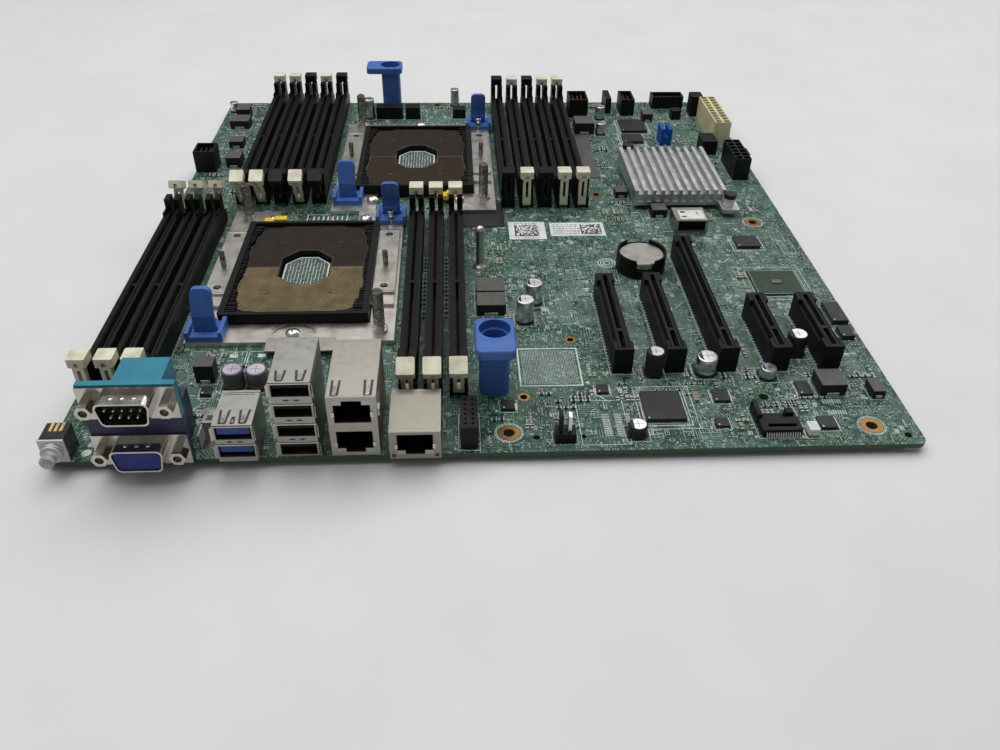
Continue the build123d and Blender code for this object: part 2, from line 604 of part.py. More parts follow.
# ---- expansion slots ---------------------------------------------------------------------
def pcie_slot(x, length):
    """One card slot: a long groove split by a key, with lowered shoulders along both sides."""
    half = SLOT_WIDTH / 2
    back = SLOT_FRONT_Y + length
    slot = block(x - half, x + half, SLOT_FRONT_Y, back, 0, SLOT_HEIGHT)
    groove = SLOT_GROOVE / 2
    key = SLOT_FRONT_Y + SLOT_KEY_FROM_FRONT
    for start, end in ((SLOT_FRONT_Y + SLOT_END_WALL, key), (key + SLOT_KEY_LENGTH, back - SLOT_END_WALL)):
        slot -= block(x - groove, x + groove, start, end, SLOT_GROOVE_FLOOR, SLOT_HEIGHT)
    for side in (-1, 1):
        outer = x + side * half
        inner = x + side * (half - SLOT_SHOULDER_IN)
        slot -= block(min(outer, inner), max(outer, inner), SLOT_FRONT_Y + SLOT_SHOULDER_START,
                      back - SLOT_SHOULDER_START, SLOT_HEIGHT - SLOT_SHOULDER_DROP, SLOT_HEIGHT)
    return slot


def pcie_slots():
    places = [SLOT_FIRST_X + SLOT_PITCH * number for number in range(len(SLOT_LENGTHS))]
    return [pcie_slot(x, length) for x, length in zip(places, SLOT_LENGTHS)]


# ---- battery, chipset and loose board parts ----------------------------------------------
def battery_holder():
    """The round black cup, open at the front for a fingernail and at the back for a clip."""
    x, y = BATTERY
    holder = upright(x, y, 0, BATTERY_HOLDER_H, BATTERY_HOLDER_R)
    holder -= upright(x, y, CELL_BOTTOM, BATTERY_HOLDER_H, CELL_R + CELL_CLEARANCE)
    front = HOLDER_FRONT_GAP / 2
    back = HOLDER_BACK_GAP / 2
    holder -= block(x - front, x + front, y - BATTERY_HOLDER_R, y, CELL_BOTTOM, BATTERY_HOLDER_H)
    holder -= block(x - back, x + back, y, y + BATTERY_HOLDER_R, CELL_BOTTOM + CELL_THICK, BATTERY_HOLDER_H)
    return holder


def coin_cell():
    x, y = BATTERY
    cell = upright(x, y, CELL_BOTTOM, CELL_BOTTOM + CELL_THICK, CELL_R)
    return chamfer(cell.edges().filter_by(GeomType.CIRCLE), 0.3)


def chipset_heatsink():
    """A finned aluminium plate with an ear for a push pin at two opposite corners."""
    x0, x1 = HEATSINK_X
    y0, y1 = HEATSINK_Y
    sink = block(x0, x1, y0, y1, *HEATSINK_BASE)
    sink += block(x0, x1, y0 + HEATSINK_STEP, y1, HEATSINK_BASE[1], HEATSINK_GAP_FLOOR)
    pitch = (x1 - x0 - FIN_THICK) / (FIN_COUNT - 1)
    for number in range(FIN_COUNT):
        left = x0 + number * pitch
        sink += block(left, left + FIN_THICK, y0, y1, HEATSINK_BASE[1], HEATSINK_TOP)
    for x, y in heatsink_pin_places():
        sink += rounded_block(x - HEATSINK_EAR_X / 2, x + HEATSINK_EAR_X / 2, y - HEATSINK_EAR_Y / 2,
                              y + HEATSINK_EAR_Y / 2, *HEATSINK_BASE, 2.0)
    for x, y in heatsink_pin_places():
        sink -= upright(x, y, *HEATSINK_BASE, PUSH_PIN_R + PUSH_PIN_CLEARANCE)
        sink -= upright(x, y, HEATSINK_BASE[1], HEATSINK_TOP, PUSH_PIN_HEAD_R + 2 * PUSH_PIN_CLEARANCE)
    return sink


def heatsink_pin_places():
    front = (HEATSINK_X[1] - PIN_INSET_RIGHT, HEATSINK_Y[0] - PIN_OUT_Y)
    back = (HEATSINK_X[0] + PIN_INSET_LEFT, HEATSINK_Y[1] + PIN_OUT_Y)
    return [front, back]


def heatsink_push_pins():
    """Sprung pins: a thin shank through the ear, a spring sleeve and a wide cap."""
    pins = []
    for x, y in heatsink_pin_places():
        pin = upright(x, y, 0, PUSH_PIN_HEAD[0] + 0.6, PUSH_PIN_R)
        pin += upright(x, y, HEATSINK_BASE[1], PUSH_PIN_HEAD[0], PUSH_PIN_SLEEVE_R)
        pin += upright(x, y, *PUSH_PIN_HEAD, PUSH_PIN_HEAD_R)
        pins.append(pin)
    return pins


def capacitor(x, y, radius, height):
    """A round can with a rolled top edge on a thin square foot."""
    can = upright(x, y, CAPACITOR_FOOT, height, radius)
    can = fillet(can.edges().filter_by(GeomType.CIRCLE).sort_by(Axis.Z)[-1], CAPACITOR_EDGE_R)
    return can + block(x - radius, x + radius, y - radius, y + radius, 0, CAPACITOR_FOOT)


# ---- cable connectors --------------------------------------------------------------------
def power_connector(shell, columns, ridge):
    """A tall wire connector with two rows of square holes and a clip ridge down its right side."""
    x0, x1, y0, y1, height = shell
    body = block(x0, x1, y0, y1, 0, height)
    half = POWER_HOLE / 2
    for column in range(columns):
        for row in range(POWER_ROWS):
            x = x0 + (row + 0.5) * (x1 - x0) / POWER_ROWS
            y = y0 + (column + 0.5) * (y1 - y0) / columns
            body -= block(x - half, x + half, y - half, y + half, POWER_HOLE_FLOOR, height)
    return body + block(*ridge)


def shrouded_header(x0, x1, y0, y1, height):
    """A plug socket that opens upwards."""
    shell = block(x0, x1, y0, y1, 0, height)
    wall = SHROUD_WALL
    return shell - block(x0 + wall, x1 - wall, y0 + wall, y1 - wall, SHROUD_FLOOR, height)


def tall_header():
    """The long socket strip at the front edge, with two rows of contact holes."""
    x0, x1, y0, y1, height = TALL_HEADER
    first_x, first_y = TALL_HEADER_FIRST
    strip = block(x0, x1, y0, y1, 0, height)
    for number in range(TALL_HEADER_CONTACTS):
        for row in range(2):
            strip -= upright(first_x + row * HEADER_PITCH, first_y + number * HEADER_PITCH,
                             TALL_HEADER_FLOOR, height, HEADER_HOLE_R)
    return strip


def joined(boxes):
    """One solid from several upright boxes that touch."""
    whole = block(*boxes[0])
    for box in boxes[1:]:
        whole += block(*box)
    return whole


def cable_connectors():
    pieces = [power_connector(MAIN_POWER, MAIN_POWER_COLUMNS, MAIN_POWER_RIDGE),
              power_connector(SIDE_POWER, SIDE_POWER_COLUMNS, SIDE_POWER_RIDGE),
              tall_header(),
              joined(DRIVE_CONNECTOR) - block(*DRIVE_SLOT),
              joined(UPRIGHT_CONNECTOR),
              block(*BLUE_HEADER) - block(*BLUE_HEADER_SLOT)]
    pieces += [block(x0, x1, y0, y1, 0, height) for x0, x1, y0, y1, height in PLAIN_PLUGS]
    pieces += [shrouded_header(*header) for header in SHROUDED_HEADERS]
    return pieces


# ---- serial and video ports --------------------------------------------------------------
def serial_vga_housing():
    """The plastic block that carries both D connectors, one over the other."""
    front = DSUB_FLANGE_Y + DSUB_FLANGE_T
    half = DSUB_FLANGE_W / 2
    top = SERIAL_Z + DSUB_FLANGE_H / 2 + DSUB_LIP_OVER
    video_x0, video_x1, video_back, video_top = VIDEO_BODY
    serial_x0, serial_x1, serial_back = SERIAL_BODY
    housing = block(DSUB_X - half, DSUB_X + half, front, front + DSUB_LIP_T, 0, top)
    housing += block(video_x0, video_x1, front + DSUB_LIP_T, video_back, 0, video_top)
    return housing + block(serial_x0, serial_x1, front + DSUB_LIP_T, serial_back, video_top, top)


def d_outline(width, height):
    """The D-shaped outline of a connector, wide side up."""
    slope = height * math.tan(math.radians(D_SLOPE_DEG))
    half = width / 2
    corners = [(-half, height / 2), (half, height / 2),
               (half - slope, -height / 2), (slope - half, -height / 2)]
    face = make_face(Polyline(*corners, close=True))
    return fillet(face.vertices(), height / 4.5)


def d_shell(z):
    """A stamped steel flange with the D sleeve that stands out of it and its two hexagon nuts."""
    half = DSUB_FLANGE_W / 2
    y1 = DSUB_FLANGE_Y + DSUB_FLANGE_T
    low = z - DSUB_FLANGE_H / 2
    shell = block(DSUB_X - half, DSUB_X + half, DSUB_FLANGE_Y, y1, low, low + DSUB_FLANGE_H)
    wall = 2 * D_SLEEVE_WALL
    sleeve = extrude(d_outline(D_SLEEVE_W, D_SLEEVE_H), DSUB_REACH)
    hollow = extrude(d_outline(D_SLEEVE_W - wall, D_SLEEVE_H - wall), DSUB_REACH + DSUB_FLANGE_T)
    turned = Pos(DSUB_X, DSUB_FLANGE_Y, z) * Rot(90, 0, 0)
    shell += turned * sleeve
    shell -= Pos(DSUB_X, y1, z) * Rot(90, 0, 0) * hollow
    for side in (-1, 1):
        x = DSUB_X + side * DSUB_SCREW_SPAN / 2
        nut_front = DSUB_FLANGE_Y - DSUB_NUT_REACH
        shell += hex_bar(x, z, nut_front, DSUB_FLANGE_Y, DSUB_NUT)
        shell -= along_y(x, z, nut_front, nut_front + DSUB_THREAD_DEPTH, DSUB_THREAD_R)
    return shell


def d_insert(z, depth):
    """The plastic block inside a D sleeve."""
    start = DSUB_FLANGE_Y + DSUB_FLANGE_T
    less = 2 * (D_SLEEVE_WALL + D_FILL_GAP)
    outline = d_outline(D_SLEEVE_W - less, D_SLEEVE_H - less)
    return Pos(DSUB_X, start, z) * Rot(90, 0, 0) * extrude(outline, depth)


# ---- USB and network ports ---------------------------------------------------------------
def usb_cage(x0, x1, front, back, height, openings):
    cage = block(x0, x1, front, back, 0, height)
    for low, high in openings:
        cage -= block(x0 + USB_WALL, x1 - USB_WALL, front, front + USB_DEPTH, low, high)
    return cage


def lan_cage(x0, x1, front, back, height, openings):
    middle = (x0 + x1) / 2
    half = LAN_PORT_WIDTH / 2
    cage = block(x0, x1, front, back, 0, height)
    for low, high in openings:
        cage -= block(middle - half, middle + half, front, front + LAN_DEPTH, low, high)
    return cage


def inner_usb_cage():
    x0, x1, front, back, height = INNER_USB
    cage = block(x0, x1, front, back, 0, height)
    return cage - block(x0 + INNER_USB_WALL, x1 - INNER_USB_WALL, front, front + USB_DEPTH,
                        INNER_USB_FLOOR, height - USB_WALL)


def port_cages():
    return [usb_cage(*USB_BLUE), usb_cage(*USB_BLACK), lan_cage(*LAN_DUAL), lan_cage(*LAN_SINGLE),
            inner_usb_cage()]


def usb_tongue(x0, x1, front, low, high):
    inset = USB_WALL + USB_TONGUE_GAP
    under = (low + high) / 2 + USB_TONGUE_RISE
    return block(x0 + inset, x1 - inset, front + USB_TONGUE_GAP, front + USB_DEPTH,
                 under, under + USB_TONGUE_THICK)


def lan_contact_block(x0, x1, front, low):
    middle = (x0 + x1) / 2
    half = LAN_CONTACT_WIDTH / 2
    back = front + LAN_DEPTH
    return block(middle - half, middle + half, back - LAN_CONTACT_DEPTH, back, low, low + LAN_CONTACT_HEIGHT)


def port_inserts():
    """The plastic tongues and contact blocks inside the ports."""
    pieces = [d_insert(SERIAL_Z, SERIAL_FILL), d_insert(VGA_Z, DSUB_REACH + 0.4)]
    for cage in (USB_BLUE, USB_BLACK):
        x0, x1, front = cage[:3]
        pieces += [usb_tongue(x0, x1, front, low, high) for low, high in cage[-1]]
    for cage in (LAN_DUAL, LAN_SINGLE):
        x0, x1, front = cage[:3]
        pieces += [lan_contact_block(x0, x1, front, opening[0]) for opening in cage[-1]]
    return pieces


# ---- identification button ---------------------------------------------------------------
def id_button_housing():
    """The black switch body with its steel front plate and collar, bored for the clear cap."""
    x0, x1, y0, y1, height = ID_BODY
    body = block(x0, x1, y0, y1, 0, height)
    body += block(x0 - 0.2, x1 + 0.2, y0 - ID_PLATE_T, y0, 0.4, height + 0.2)
    body += along_y(ID_X, ID_Z, y0 - ID_COLLAR_OUT, y0 - ID_PLATE_T, ID_COLLAR_R)
    return body - along_y(ID_X, ID_Z, y0 - ID_COLLAR_OUT, y0 + ID_BORE_DEPTH, ID_CAP_R + ID_CLEARANCE)


def id_button_cap():
    """The clear plunger, with room behind it for its travel."""
    front = ID_BODY[2] - ID_CAP_OUT
    back = ID_BODY[2] + ID_BORE_DEPTH - ID_TRAVEL - ID_REST_GAP
    cap = along_y(ID_X, ID_Z, front, back, ID_CAP_R)
    return fillet(cap.edges().filter_by(GeomType.CIRCLE).sort_by(Axis.Y)[0], 0.8)


# ---- tray handles ------------------------------------------------------------------------
def tray_handle(place, turn):
    """A blue lifting post: a hollow square column under a rounded flange that reaches one way."""
    half = HANDLE_POST / 2
    near = HANDLE_FLANGE_NEAR
    post = rounded_block(-half, half, -half, half, 0, HANDLE_TOP, HANDLE_POST_R)
    flange = rounded_block(-near, near, -HANDLE_FLANGE_FAR, near, HANDLE_TOP - HANDLE_FLANGE_T, HANDLE_TOP,
                           HANDLE_FLANGE_R)
    flange = fillet(flange.edges().group_by(Axis.Z)[-1], 0.9)
    handle = post + flange
    handle -= upright(0, 0, HANDLE_FLOOR, HANDLE_TOP, HANDLE_POST_BORE_R)
    handle -= upright(0, 0, HANDLE_TOP - HANDLE_FLANGE_T, HANDLE_TOP, HANDLE_BORE_R)
    return Pos(*place, 0) * Rot(0, 0, turn) * handle


# ---- write every node --------------------------------------------------------------------
os.makedirs("parts", exist_ok=True)
save("circuit_board", circuit_board())
save_memory()
save_processors()
save("pcie_slots", pcie_slots())
save("battery_holder", battery_holder())
save("coin_cell", coin_cell())
save("chipset_heatsink", chipset_heatsink())
save("heatsink_push_pins", heatsink_push_pins())
save("chips", [block(x0, x1, y0, y1, 0, height) for x0, x1, y0, y1, height in CHIPS])
save("inductors", [rounded_block(x0, x1, y0, y1, 0, height, 0.5) for x0, x1, y0, y1, height in INDUCTORS])
save("capacitors", [capacitor(*place) for place in CAPACITORS])
save("cable_connectors", cable_connectors())
save("serial_vga_housing", serial_vga_housing())
save("dsub_shells", [d_shell(SERIAL_Z), d_shell(VGA_Z)])
save("port_cages", port_cages())
save("port_inserts", port_inserts())
save("id_button_housing", id_button_housing())
save("id_button_cap", id_button_cap())
save("tray_handles", [tray_handle(FRONT_HANDLE, 0), tray_handle(REAR_HANDLE, -90)])
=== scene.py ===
import json
import math
import random

import bmesh
import bpy
from mathutils import Matrix, Vector
from mathutils.bvhtree import BVHTree


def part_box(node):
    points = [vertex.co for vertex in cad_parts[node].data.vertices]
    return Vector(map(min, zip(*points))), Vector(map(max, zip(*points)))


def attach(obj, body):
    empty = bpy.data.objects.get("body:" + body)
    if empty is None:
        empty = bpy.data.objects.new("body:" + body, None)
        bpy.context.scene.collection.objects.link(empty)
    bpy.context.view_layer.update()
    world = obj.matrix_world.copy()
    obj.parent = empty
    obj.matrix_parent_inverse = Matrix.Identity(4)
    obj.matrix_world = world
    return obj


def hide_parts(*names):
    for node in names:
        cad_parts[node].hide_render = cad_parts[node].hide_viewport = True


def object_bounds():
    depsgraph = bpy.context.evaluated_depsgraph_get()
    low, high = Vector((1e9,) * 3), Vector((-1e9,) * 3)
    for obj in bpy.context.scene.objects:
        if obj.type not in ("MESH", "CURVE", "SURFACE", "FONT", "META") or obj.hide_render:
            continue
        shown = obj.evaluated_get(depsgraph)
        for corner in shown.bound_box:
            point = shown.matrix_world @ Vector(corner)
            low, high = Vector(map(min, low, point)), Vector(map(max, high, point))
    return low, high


# The looks of a two-socket server motherboard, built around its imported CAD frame.
# Lengths are in millimetres from the board's front left corner, with Z = 0 on its top face.

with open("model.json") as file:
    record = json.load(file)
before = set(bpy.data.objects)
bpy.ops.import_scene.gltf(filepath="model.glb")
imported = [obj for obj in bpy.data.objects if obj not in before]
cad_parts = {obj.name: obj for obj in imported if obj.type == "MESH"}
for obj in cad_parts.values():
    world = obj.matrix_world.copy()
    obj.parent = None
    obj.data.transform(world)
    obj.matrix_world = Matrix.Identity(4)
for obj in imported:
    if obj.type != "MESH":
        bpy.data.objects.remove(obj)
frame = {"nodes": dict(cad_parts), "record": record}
cad_low, cad_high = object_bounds()
MM = 0.001
board_low, board_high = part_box("circuit_board")
BOARD_X = (board_high.x - board_low.x) / MM
BOARD_Y = (board_high.y - board_low.y) / MM
BOARD_THICK = (board_high.z - board_low.z) / MM
PRINT_Z = 0.03
WELD = 1e-6
HOLE_INSET_X = 16.51
HOLE_INSET_Y = 10.16
HOLE_ROW_PITCH = 154.94
FRONT_HOLE_SPAN = 130.81
MOUNT_HOLE_R = 2.0
TOWER_LENGTH = 13.0
WALL_TOP_Z = 9.4
SLOT_END = 3.0
MEMORY_NODES = ("memory_sockets_front", "memory_sockets_rear")
LAID_OUT = random.Random(7)


def place(x, y, z=0.0):
    """A point of the board's own millimetres as a point of the shared frame."""
    return Vector((board_low.x + x * MM, board_low.y + y * MM, board_high.z + z * MM))


def solids(node):
    """The box of each separate solid of a CAD node, as (x0, x1, y0, y1, z0, z1), from left to right."""
    mesh = bmesh.new()
    mesh.from_mesh(frame["nodes"][node].data)
    bmesh.ops.remove_doubles(mesh, verts=mesh.verts, dist=WELD)
    seen, boxes = set(), []
    for start in mesh.verts:
        if start in seen:
            continue
        seen.add(start)
        island, waiting = [], [start]
        while waiting:
            vert = waiting.pop()
            island.append((vert.co - place(0, 0)) / MM)
            for edge in vert.link_edges:
                other = edge.other_vert(vert)
                if other not in seen:
                    seen.add(other)
                    waiting.append(other)
        spans = []
        for axis in range(3):
            values = [point[axis] for point in island]
            spans += [min(values), max(values)]
        boxes.append(tuple(spans))
    mesh.free()
    return sorted(boxes)


# ---- meshes ----
class Shape:
    """One piece's mesh, put together from simple parts; paint is a material's place in the list."""

    def __init__(self, name, *materials):
        self.name = name
        self.materials = materials
        self.points = []
        self.faces = []
        self.paints = []
        self.smooth = []

    def add(self, points, faces, paint=0, smooth=False):
        first = len(self.points)
        self.points += points
        self.faces += [[first + number for number in face] for face in faces]
        self.paints += [paint] * len(faces)
        self.smooth += [smooth] * len(faces)

    def block(self, x0, x1, y0, y1, z0, z1, paint=0):
        """A box between two limits on each axis, which may come in either order."""
        self.leaning(*sorted((x0, x1)), *sorted((y0, y1)), *sorted((z0, z1)), 0.0, 0.0, paint)

    def leaning(self, x0, x1, y0, y1, z0, z1, shift_x, shift_y, paint=0):
        """A box whose top is moved sideways, such as a bent spring contact."""
        corners = [(x, y, z0) for y in (y0, y1) for x in (x0, x1)]
        corners += [(x + shift_x, y + shift_y, z1) for y in (y0, y1) for x in (x0, x1)]
        faces = [(0, 2, 3, 1), (4, 5, 7, 6), (0, 1, 5, 4), (2, 6, 7, 3), (0, 4, 6, 2), (1, 3, 7, 5)]
        self.add(corners, faces, paint)

    def sheet(self, outline, z, paint=0):
        """A flat printed face with the given outline."""
        self.add([(x, y, z) for x, y in outline], [tuple(range(len(outline)))], paint)

    def tile(self, x0, x1, y0, y1, z, paint=0):
        self.sheet([(x0, y0), (x1, y0), (x1, y1), (x0, y1)], z, paint)

    def ribbon(self, points, width, z, paint=0):
        """A printed line with mitred corners."""
        left = beside(points, width / 2)
        right = beside(points, -width / 2)
        count = len(points)
        faces = [(number, count + number, count + number + 1, number + 1) for number in range(count - 1)]
        self.add([(x, y, z) for x, y in left + right], faces, paint)

    def frame_line(self, x0, x1, y0, y1, width, z, paint=0):
        """The four sides of a printed rectangle."""
        self.tile(x0 - width, x1 + width, y0 - width, y0, z, paint)
        self.tile(x0 - width, x1 + width, y1, y1 + width, z, paint)
        self.tile(x0 - width, x0, y0, y1, z, paint)
        self.tile(x1, x1 + width, y0, y1, z, paint)

    def turned(self, x, y, z, profile, paint=0, steps=28, axis="z", smooth=True):
        """A round shape: profile is (radius, distance along the axis) from one end to the other."""
        points = []
        for radius, along in profile:
            for step in range(steps):
                angle = 2 * math.pi * step / steps
                across, up = radius * math.cos(angle), radius * math.sin(angle)
                if axis == "z":
                    points.append((x + across, y + up, z + along))
                else:
                    points.append((x + across, y + along, z - up))
        faces = []
        for ring in range(len(profile) - 1):
            low, high = ring * steps, (ring + 1) * steps
            for step in range(steps):
                after = (step + 1) % steps
                faces.append((low + step, low + after, high + after, high + step))
        self.add(points, faces, paint, smooth)
        last = len(profile) - 1
        if profile[0][0] > 0:
            self.cap(points[:steps][::-1], paint)
        if profile[last][0] > 0:
            self.cap(points[last * steps:], paint)

    def cap(self, ring, paint):
        """The flat end of a round shape."""
        self.add(ring, [tuple(range(len(ring)))], paint)

    def ring(self, x, y, inner, outer, z, paint=0, steps=32):
        """A flat printed ring."""
        points = []
        for radius in (inner, outer):
            for step in range(steps):
                angle = 2 * math.pi * step / steps
                points.append((x + radius * math.cos(angle), y + radius * math.sin(angle), z))
        faces = []
        for step in range(steps):
            after = (step + 1) % steps
            faces.append((step, steps + step, steps + after, after))
        self.add(points, faces, paint)

    def disc(self, x, y, radius, z, paint=0, steps=8):
        angles = [2 * math.pi * step / steps for step in range(steps)]
        self.sheet([(x + radius * math.cos(a), y + radius * math.sin(a)) for a in angles], z, paint)

    def done(self, slot, body="board", bevel=0.0, stands_for=()):
        """Makes the piece and rides it on its CAD body; slot is not used."""
        mesh = bpy.data.meshes.new(self.name)
        mesh.from_pydata([place(*point) for point in self.points], [], self.faces)
        for material in self.materials:
            mesh.materials.append(material)
        mesh.polygons.foreach_set("material_index", self.paints)
        mesh.polygons.foreach_set("use_smooth", self.smooth)
        mesh.update()
        piece = bpy.data.objects.new(self.name, mesh)
        bpy.context.scene.collection.objects.link(piece)
        if bevel:
            rounding = piece.modifiers.new("edges", "BEVEL")
            rounding.width = bevel * MM
            rounding.segments = 2
            rounding.limit_method = "ANGLE"
        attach(piece, body)
        if stands_for:
            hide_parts(*stands_for)
        return piece


def beside(points, distance):
    """The same line moved sideways to the left by a distance, with mitred corners."""
    moved = []
    for number, (x, y) in enumerate(points):
        before = points[max(number - 1, 0)]
        after = points[min(number + 1, len(points) - 1)]
        into = Vector((x - before[0], y - before[1]))
        out = Vector((after[0] - x, after[1] - y))
        into = into.normalized() if into.length else out.normalized()
        out = out.normalized() if out.length else into
        side = Vector((-into.y - out.y, into.x + out.x)).normalized()
        share = max(side.dot(Vector((-into.y, into.x))), 0.4)
        moved.append((x + side.x * distance / share, y + side.y * distance / share))
    return moved


# ---- materials ----
class Graph:
    """A short way to write down a material's nodes."""

    def __init__(self, name):
        self.material = bpy.data.materials.new(name)
        self.material.use_nodes = True
        self.tree = self.material.node_tree
        self.tree.nodes.clear()
        self.shader = self.add("ShaderNodeBsdfPrincipled")
        output = self.add("ShaderNodeOutputMaterial")
        self.tree.links.new(self.shader.outputs[0], output.inputs[0])
        self.where = self.add("ShaderNodeTexCoord").outputs["Object"]
        self.x, self.y, self.z = self.parts_of(self.where)

    def add(self, kind, **settings):
        node = self.tree.nodes.new(kind)
        for key, value in settings.items():
            setattr(node, key, value)
        return node

    def put(self, socket, value):
        if isinstance(value, bpy.types.NodeSocket):
            self.tree.links.new(value, socket)
        elif isinstance(value, tuple) and len(value) == 3:
            socket.default_value = (*value, 1.0) if len(socket.default_value) == 4 else value
        else:
            socket.default_value = value

    def maths(self, operation, *values):
        node = self.add("ShaderNodeMath", operation=operation)
        for number, value in enumerate(values):
            self.put(node.inputs[number], value)
        return node.outputs[0]

    def times(self, first, second):
        return self.maths("MULTIPLY", first, second)

    def plus(self, first, second):
        return self.maths("ADD", first, second)

    def wave(self, value, pitch):
        """A sine wave along a value, with its pitch in metres."""
        return self.maths("SINE", self.times(value, 2 * math.pi / pitch))

    def parts_of(self, vector):
        node = self.add("ShaderNodeSeparateXYZ")
        self.put(node.inputs[0], vector)
        return node.outputs

    def facing(self):
        """How far each face looks up, from -1 to 1."""
        return self.parts_of(self.add("ShaderNodeNewGeometry").outputs["Normal"])[2]

    def drifting(self, size, low=0.0, high=1.0):
        """Slow changes between two values over blotches of the given width."""
        return self.between(self.noise(size), 0.3, 0.7, low, high)

    def noise(self, size, detail=3.0, rough=0.55, stretch=None):
        """A cloudy value; size is the width of its blotches in millimetres."""
        node = self.add("ShaderNodeTexNoise")
        where = self.where
        if stretch:
            mapping = self.add("ShaderNodeMapping")
            self.put(mapping.inputs["Vector"], self.where)
            self.put(mapping.inputs["Scale"], stretch)
            where = mapping.outputs[0]
        self.put(node.inputs["Vector"], where)
        self.put(node.inputs["Scale"], 1.0 / (size * MM))
        self.put(node.inputs["Detail"], detail)
        self.put(node.inputs["Roughness"], rough)
        return node.outputs[0]

    def cells(self, size, metric="EUCLIDEAN", spread=1.0):
        """Cells of about the given width: the distance to a cell's middle, and its random colour."""
        node = self.add("ShaderNodeTexVoronoi", distance=metric)
        self.put(node.inputs["Vector"], self.where)
        self.put(node.inputs["Scale"], 1.0 / (size * MM))
        self.put(node.inputs["Randomness"], spread)
        return node.outputs["Distance"], node.outputs["Color"]

    def between(self, value, low, high, to_low=0.0, to_high=1.0):
        node = self.add("ShaderNodeMapRange")
        for name, number in (("From Min", low), ("From Max", high), ("To Min", to_low), ("To Max", to_high)):
            self.put(node.inputs[name], number)
        self.put(node.inputs["Value"], value)
        return node.outputs[0]

    def mix(self, share, first, second):
        node = self.add("ShaderNodeMix", data_type="RGBA")
        self.put(node.inputs[0], share)
        self.put(node.inputs[6], first)
        self.put(node.inputs[7], second)
        return node.outputs[2]

    def within(self, low, high):
        """1 inside a box given by two board corners, else 0; None leaves a side open."""
        inside = None
        sides = [(axis, low, "GREATER_THAN") for axis in range(3)]
        sides += [(axis, high, "LESS_THAN") for axis in range(3)]
        for axis, corner, comparison in sides:
            if corner[axis] is None:
                continue
            limit = place(*[side or 0.0 for side in corner])[axis]
            test = self.maths(comparison, (self.x, self.y, self.z)[axis], limit)
            inside = test if inside is None else self.times(inside, test)
        return inside

    def bump(self, height, depth, strength=1.0):
        node = self.add("ShaderNodeBump")
        self.put(node.inputs["Height"], height)
        self.put(node.inputs["Distance"], depth * MM)
        self.put(node.inputs["Strength"], strength)
        return node.outputs[0]

    def done(self, colour, rough, metal=0.0, normal=None, **numbers):
        self.put(self.shader.inputs["Base Color"], colour)
        self.put(self.shader.inputs["Roughness"], rough)
        self.put(self.shader.inputs["Metallic"], metal)
        if normal:
            self.put(self.shader.inputs["Normal"], normal)
        for name, value in numbers.items():
            self.put(self.shader.inputs[name.replace("_", " ")], value)
        return self.material


def tinted(colour, factor):
    return tuple(min(channel * factor, 1.0) for channel in colour)


def plastic(name, colour, rough=0.42, grain=0.35, depth=0.008, spread=0.22, ribs=0.0, **numbers):
    """Moulded plastic: fine spark grain, slow colour drift and worn, smoother patches."""
    g = Graph(name)
    grain_value = g.noise(grain, 2.0)
    shade = g.mix(g.drifting(7.0), tinted(colour, 1 - spread), tinted(colour, 1 + spread))
    roughness = g.drifting(3.0, rough - 0.07, rough + 0.09)
    height = grain_value
    if ribs:
        height = g.plus(grain_value, g.times(g.wave(g.y, ribs * MM), 2.0))
    return g.done(shade, roughness, 0.0, g.bump(height, depth), **numbers)


def metal(name, colour, rough=0.3, brushed=(1, 1, 1), depth=0.004, spread=0.12, **numbers):
    """Metal with drawn or rolled lines, faint stains and uneven polish."""
    g = Graph(name)
    lines = g.noise(0.5, 4.0, 0.6, brushed)
    stains = g.noise(5.0)
    shade = g.mix(g.between(stains, 0.3, 0.7), tinted(colour, 1 - spread), tinted(colour, 1 + spread))
    roughness = g.between(g.plus(lines, stains), 0.6, 1.4, rough - 0.08, rough + 0.12)
    return g.done(shade, roughness, 1.0, g.bump(lines, depth), **numbers)


def pad_layer(g, step_x, step_y, share_x, share_y, shown):
    """Small rectangles on a grid, of which only a chance share is there; 1 on a rectangle."""
    inside = None
    cell = g.add("ShaderNodeCombineXYZ")
    for number, (value, step, share) in enumerate(((g.x, step_x, share_x), (g.y, step_y, share_y))):
        scaled = g.maths("DIVIDE", value, step * MM)
        g.put(cell.inputs[number], g.maths("FLOOR", scaled))
        test = g.maths("LESS_THAN", g.maths("FRACT", scaled), share)
        inside = test if inside is None else g.times(inside, test)
    chance = g.add("ShaderNodeTexWhiteNoise", noise_dimensions="2D")
    g.put(chance.inputs["Vector"], cell.outputs[0])
    crowd = g.between(g.noise(14.0, 2.0), 0.35, 0.65, 0.35, 1.0)
    there = g.maths("LESS_THAN", chance.outputs["Value"], g.times(crowd, shown))
    return g.times(inside, there)


GLASS_LAYER = 0.33
KNURL_PITCH = 0.7
POST_FOOT_Z = 5.2


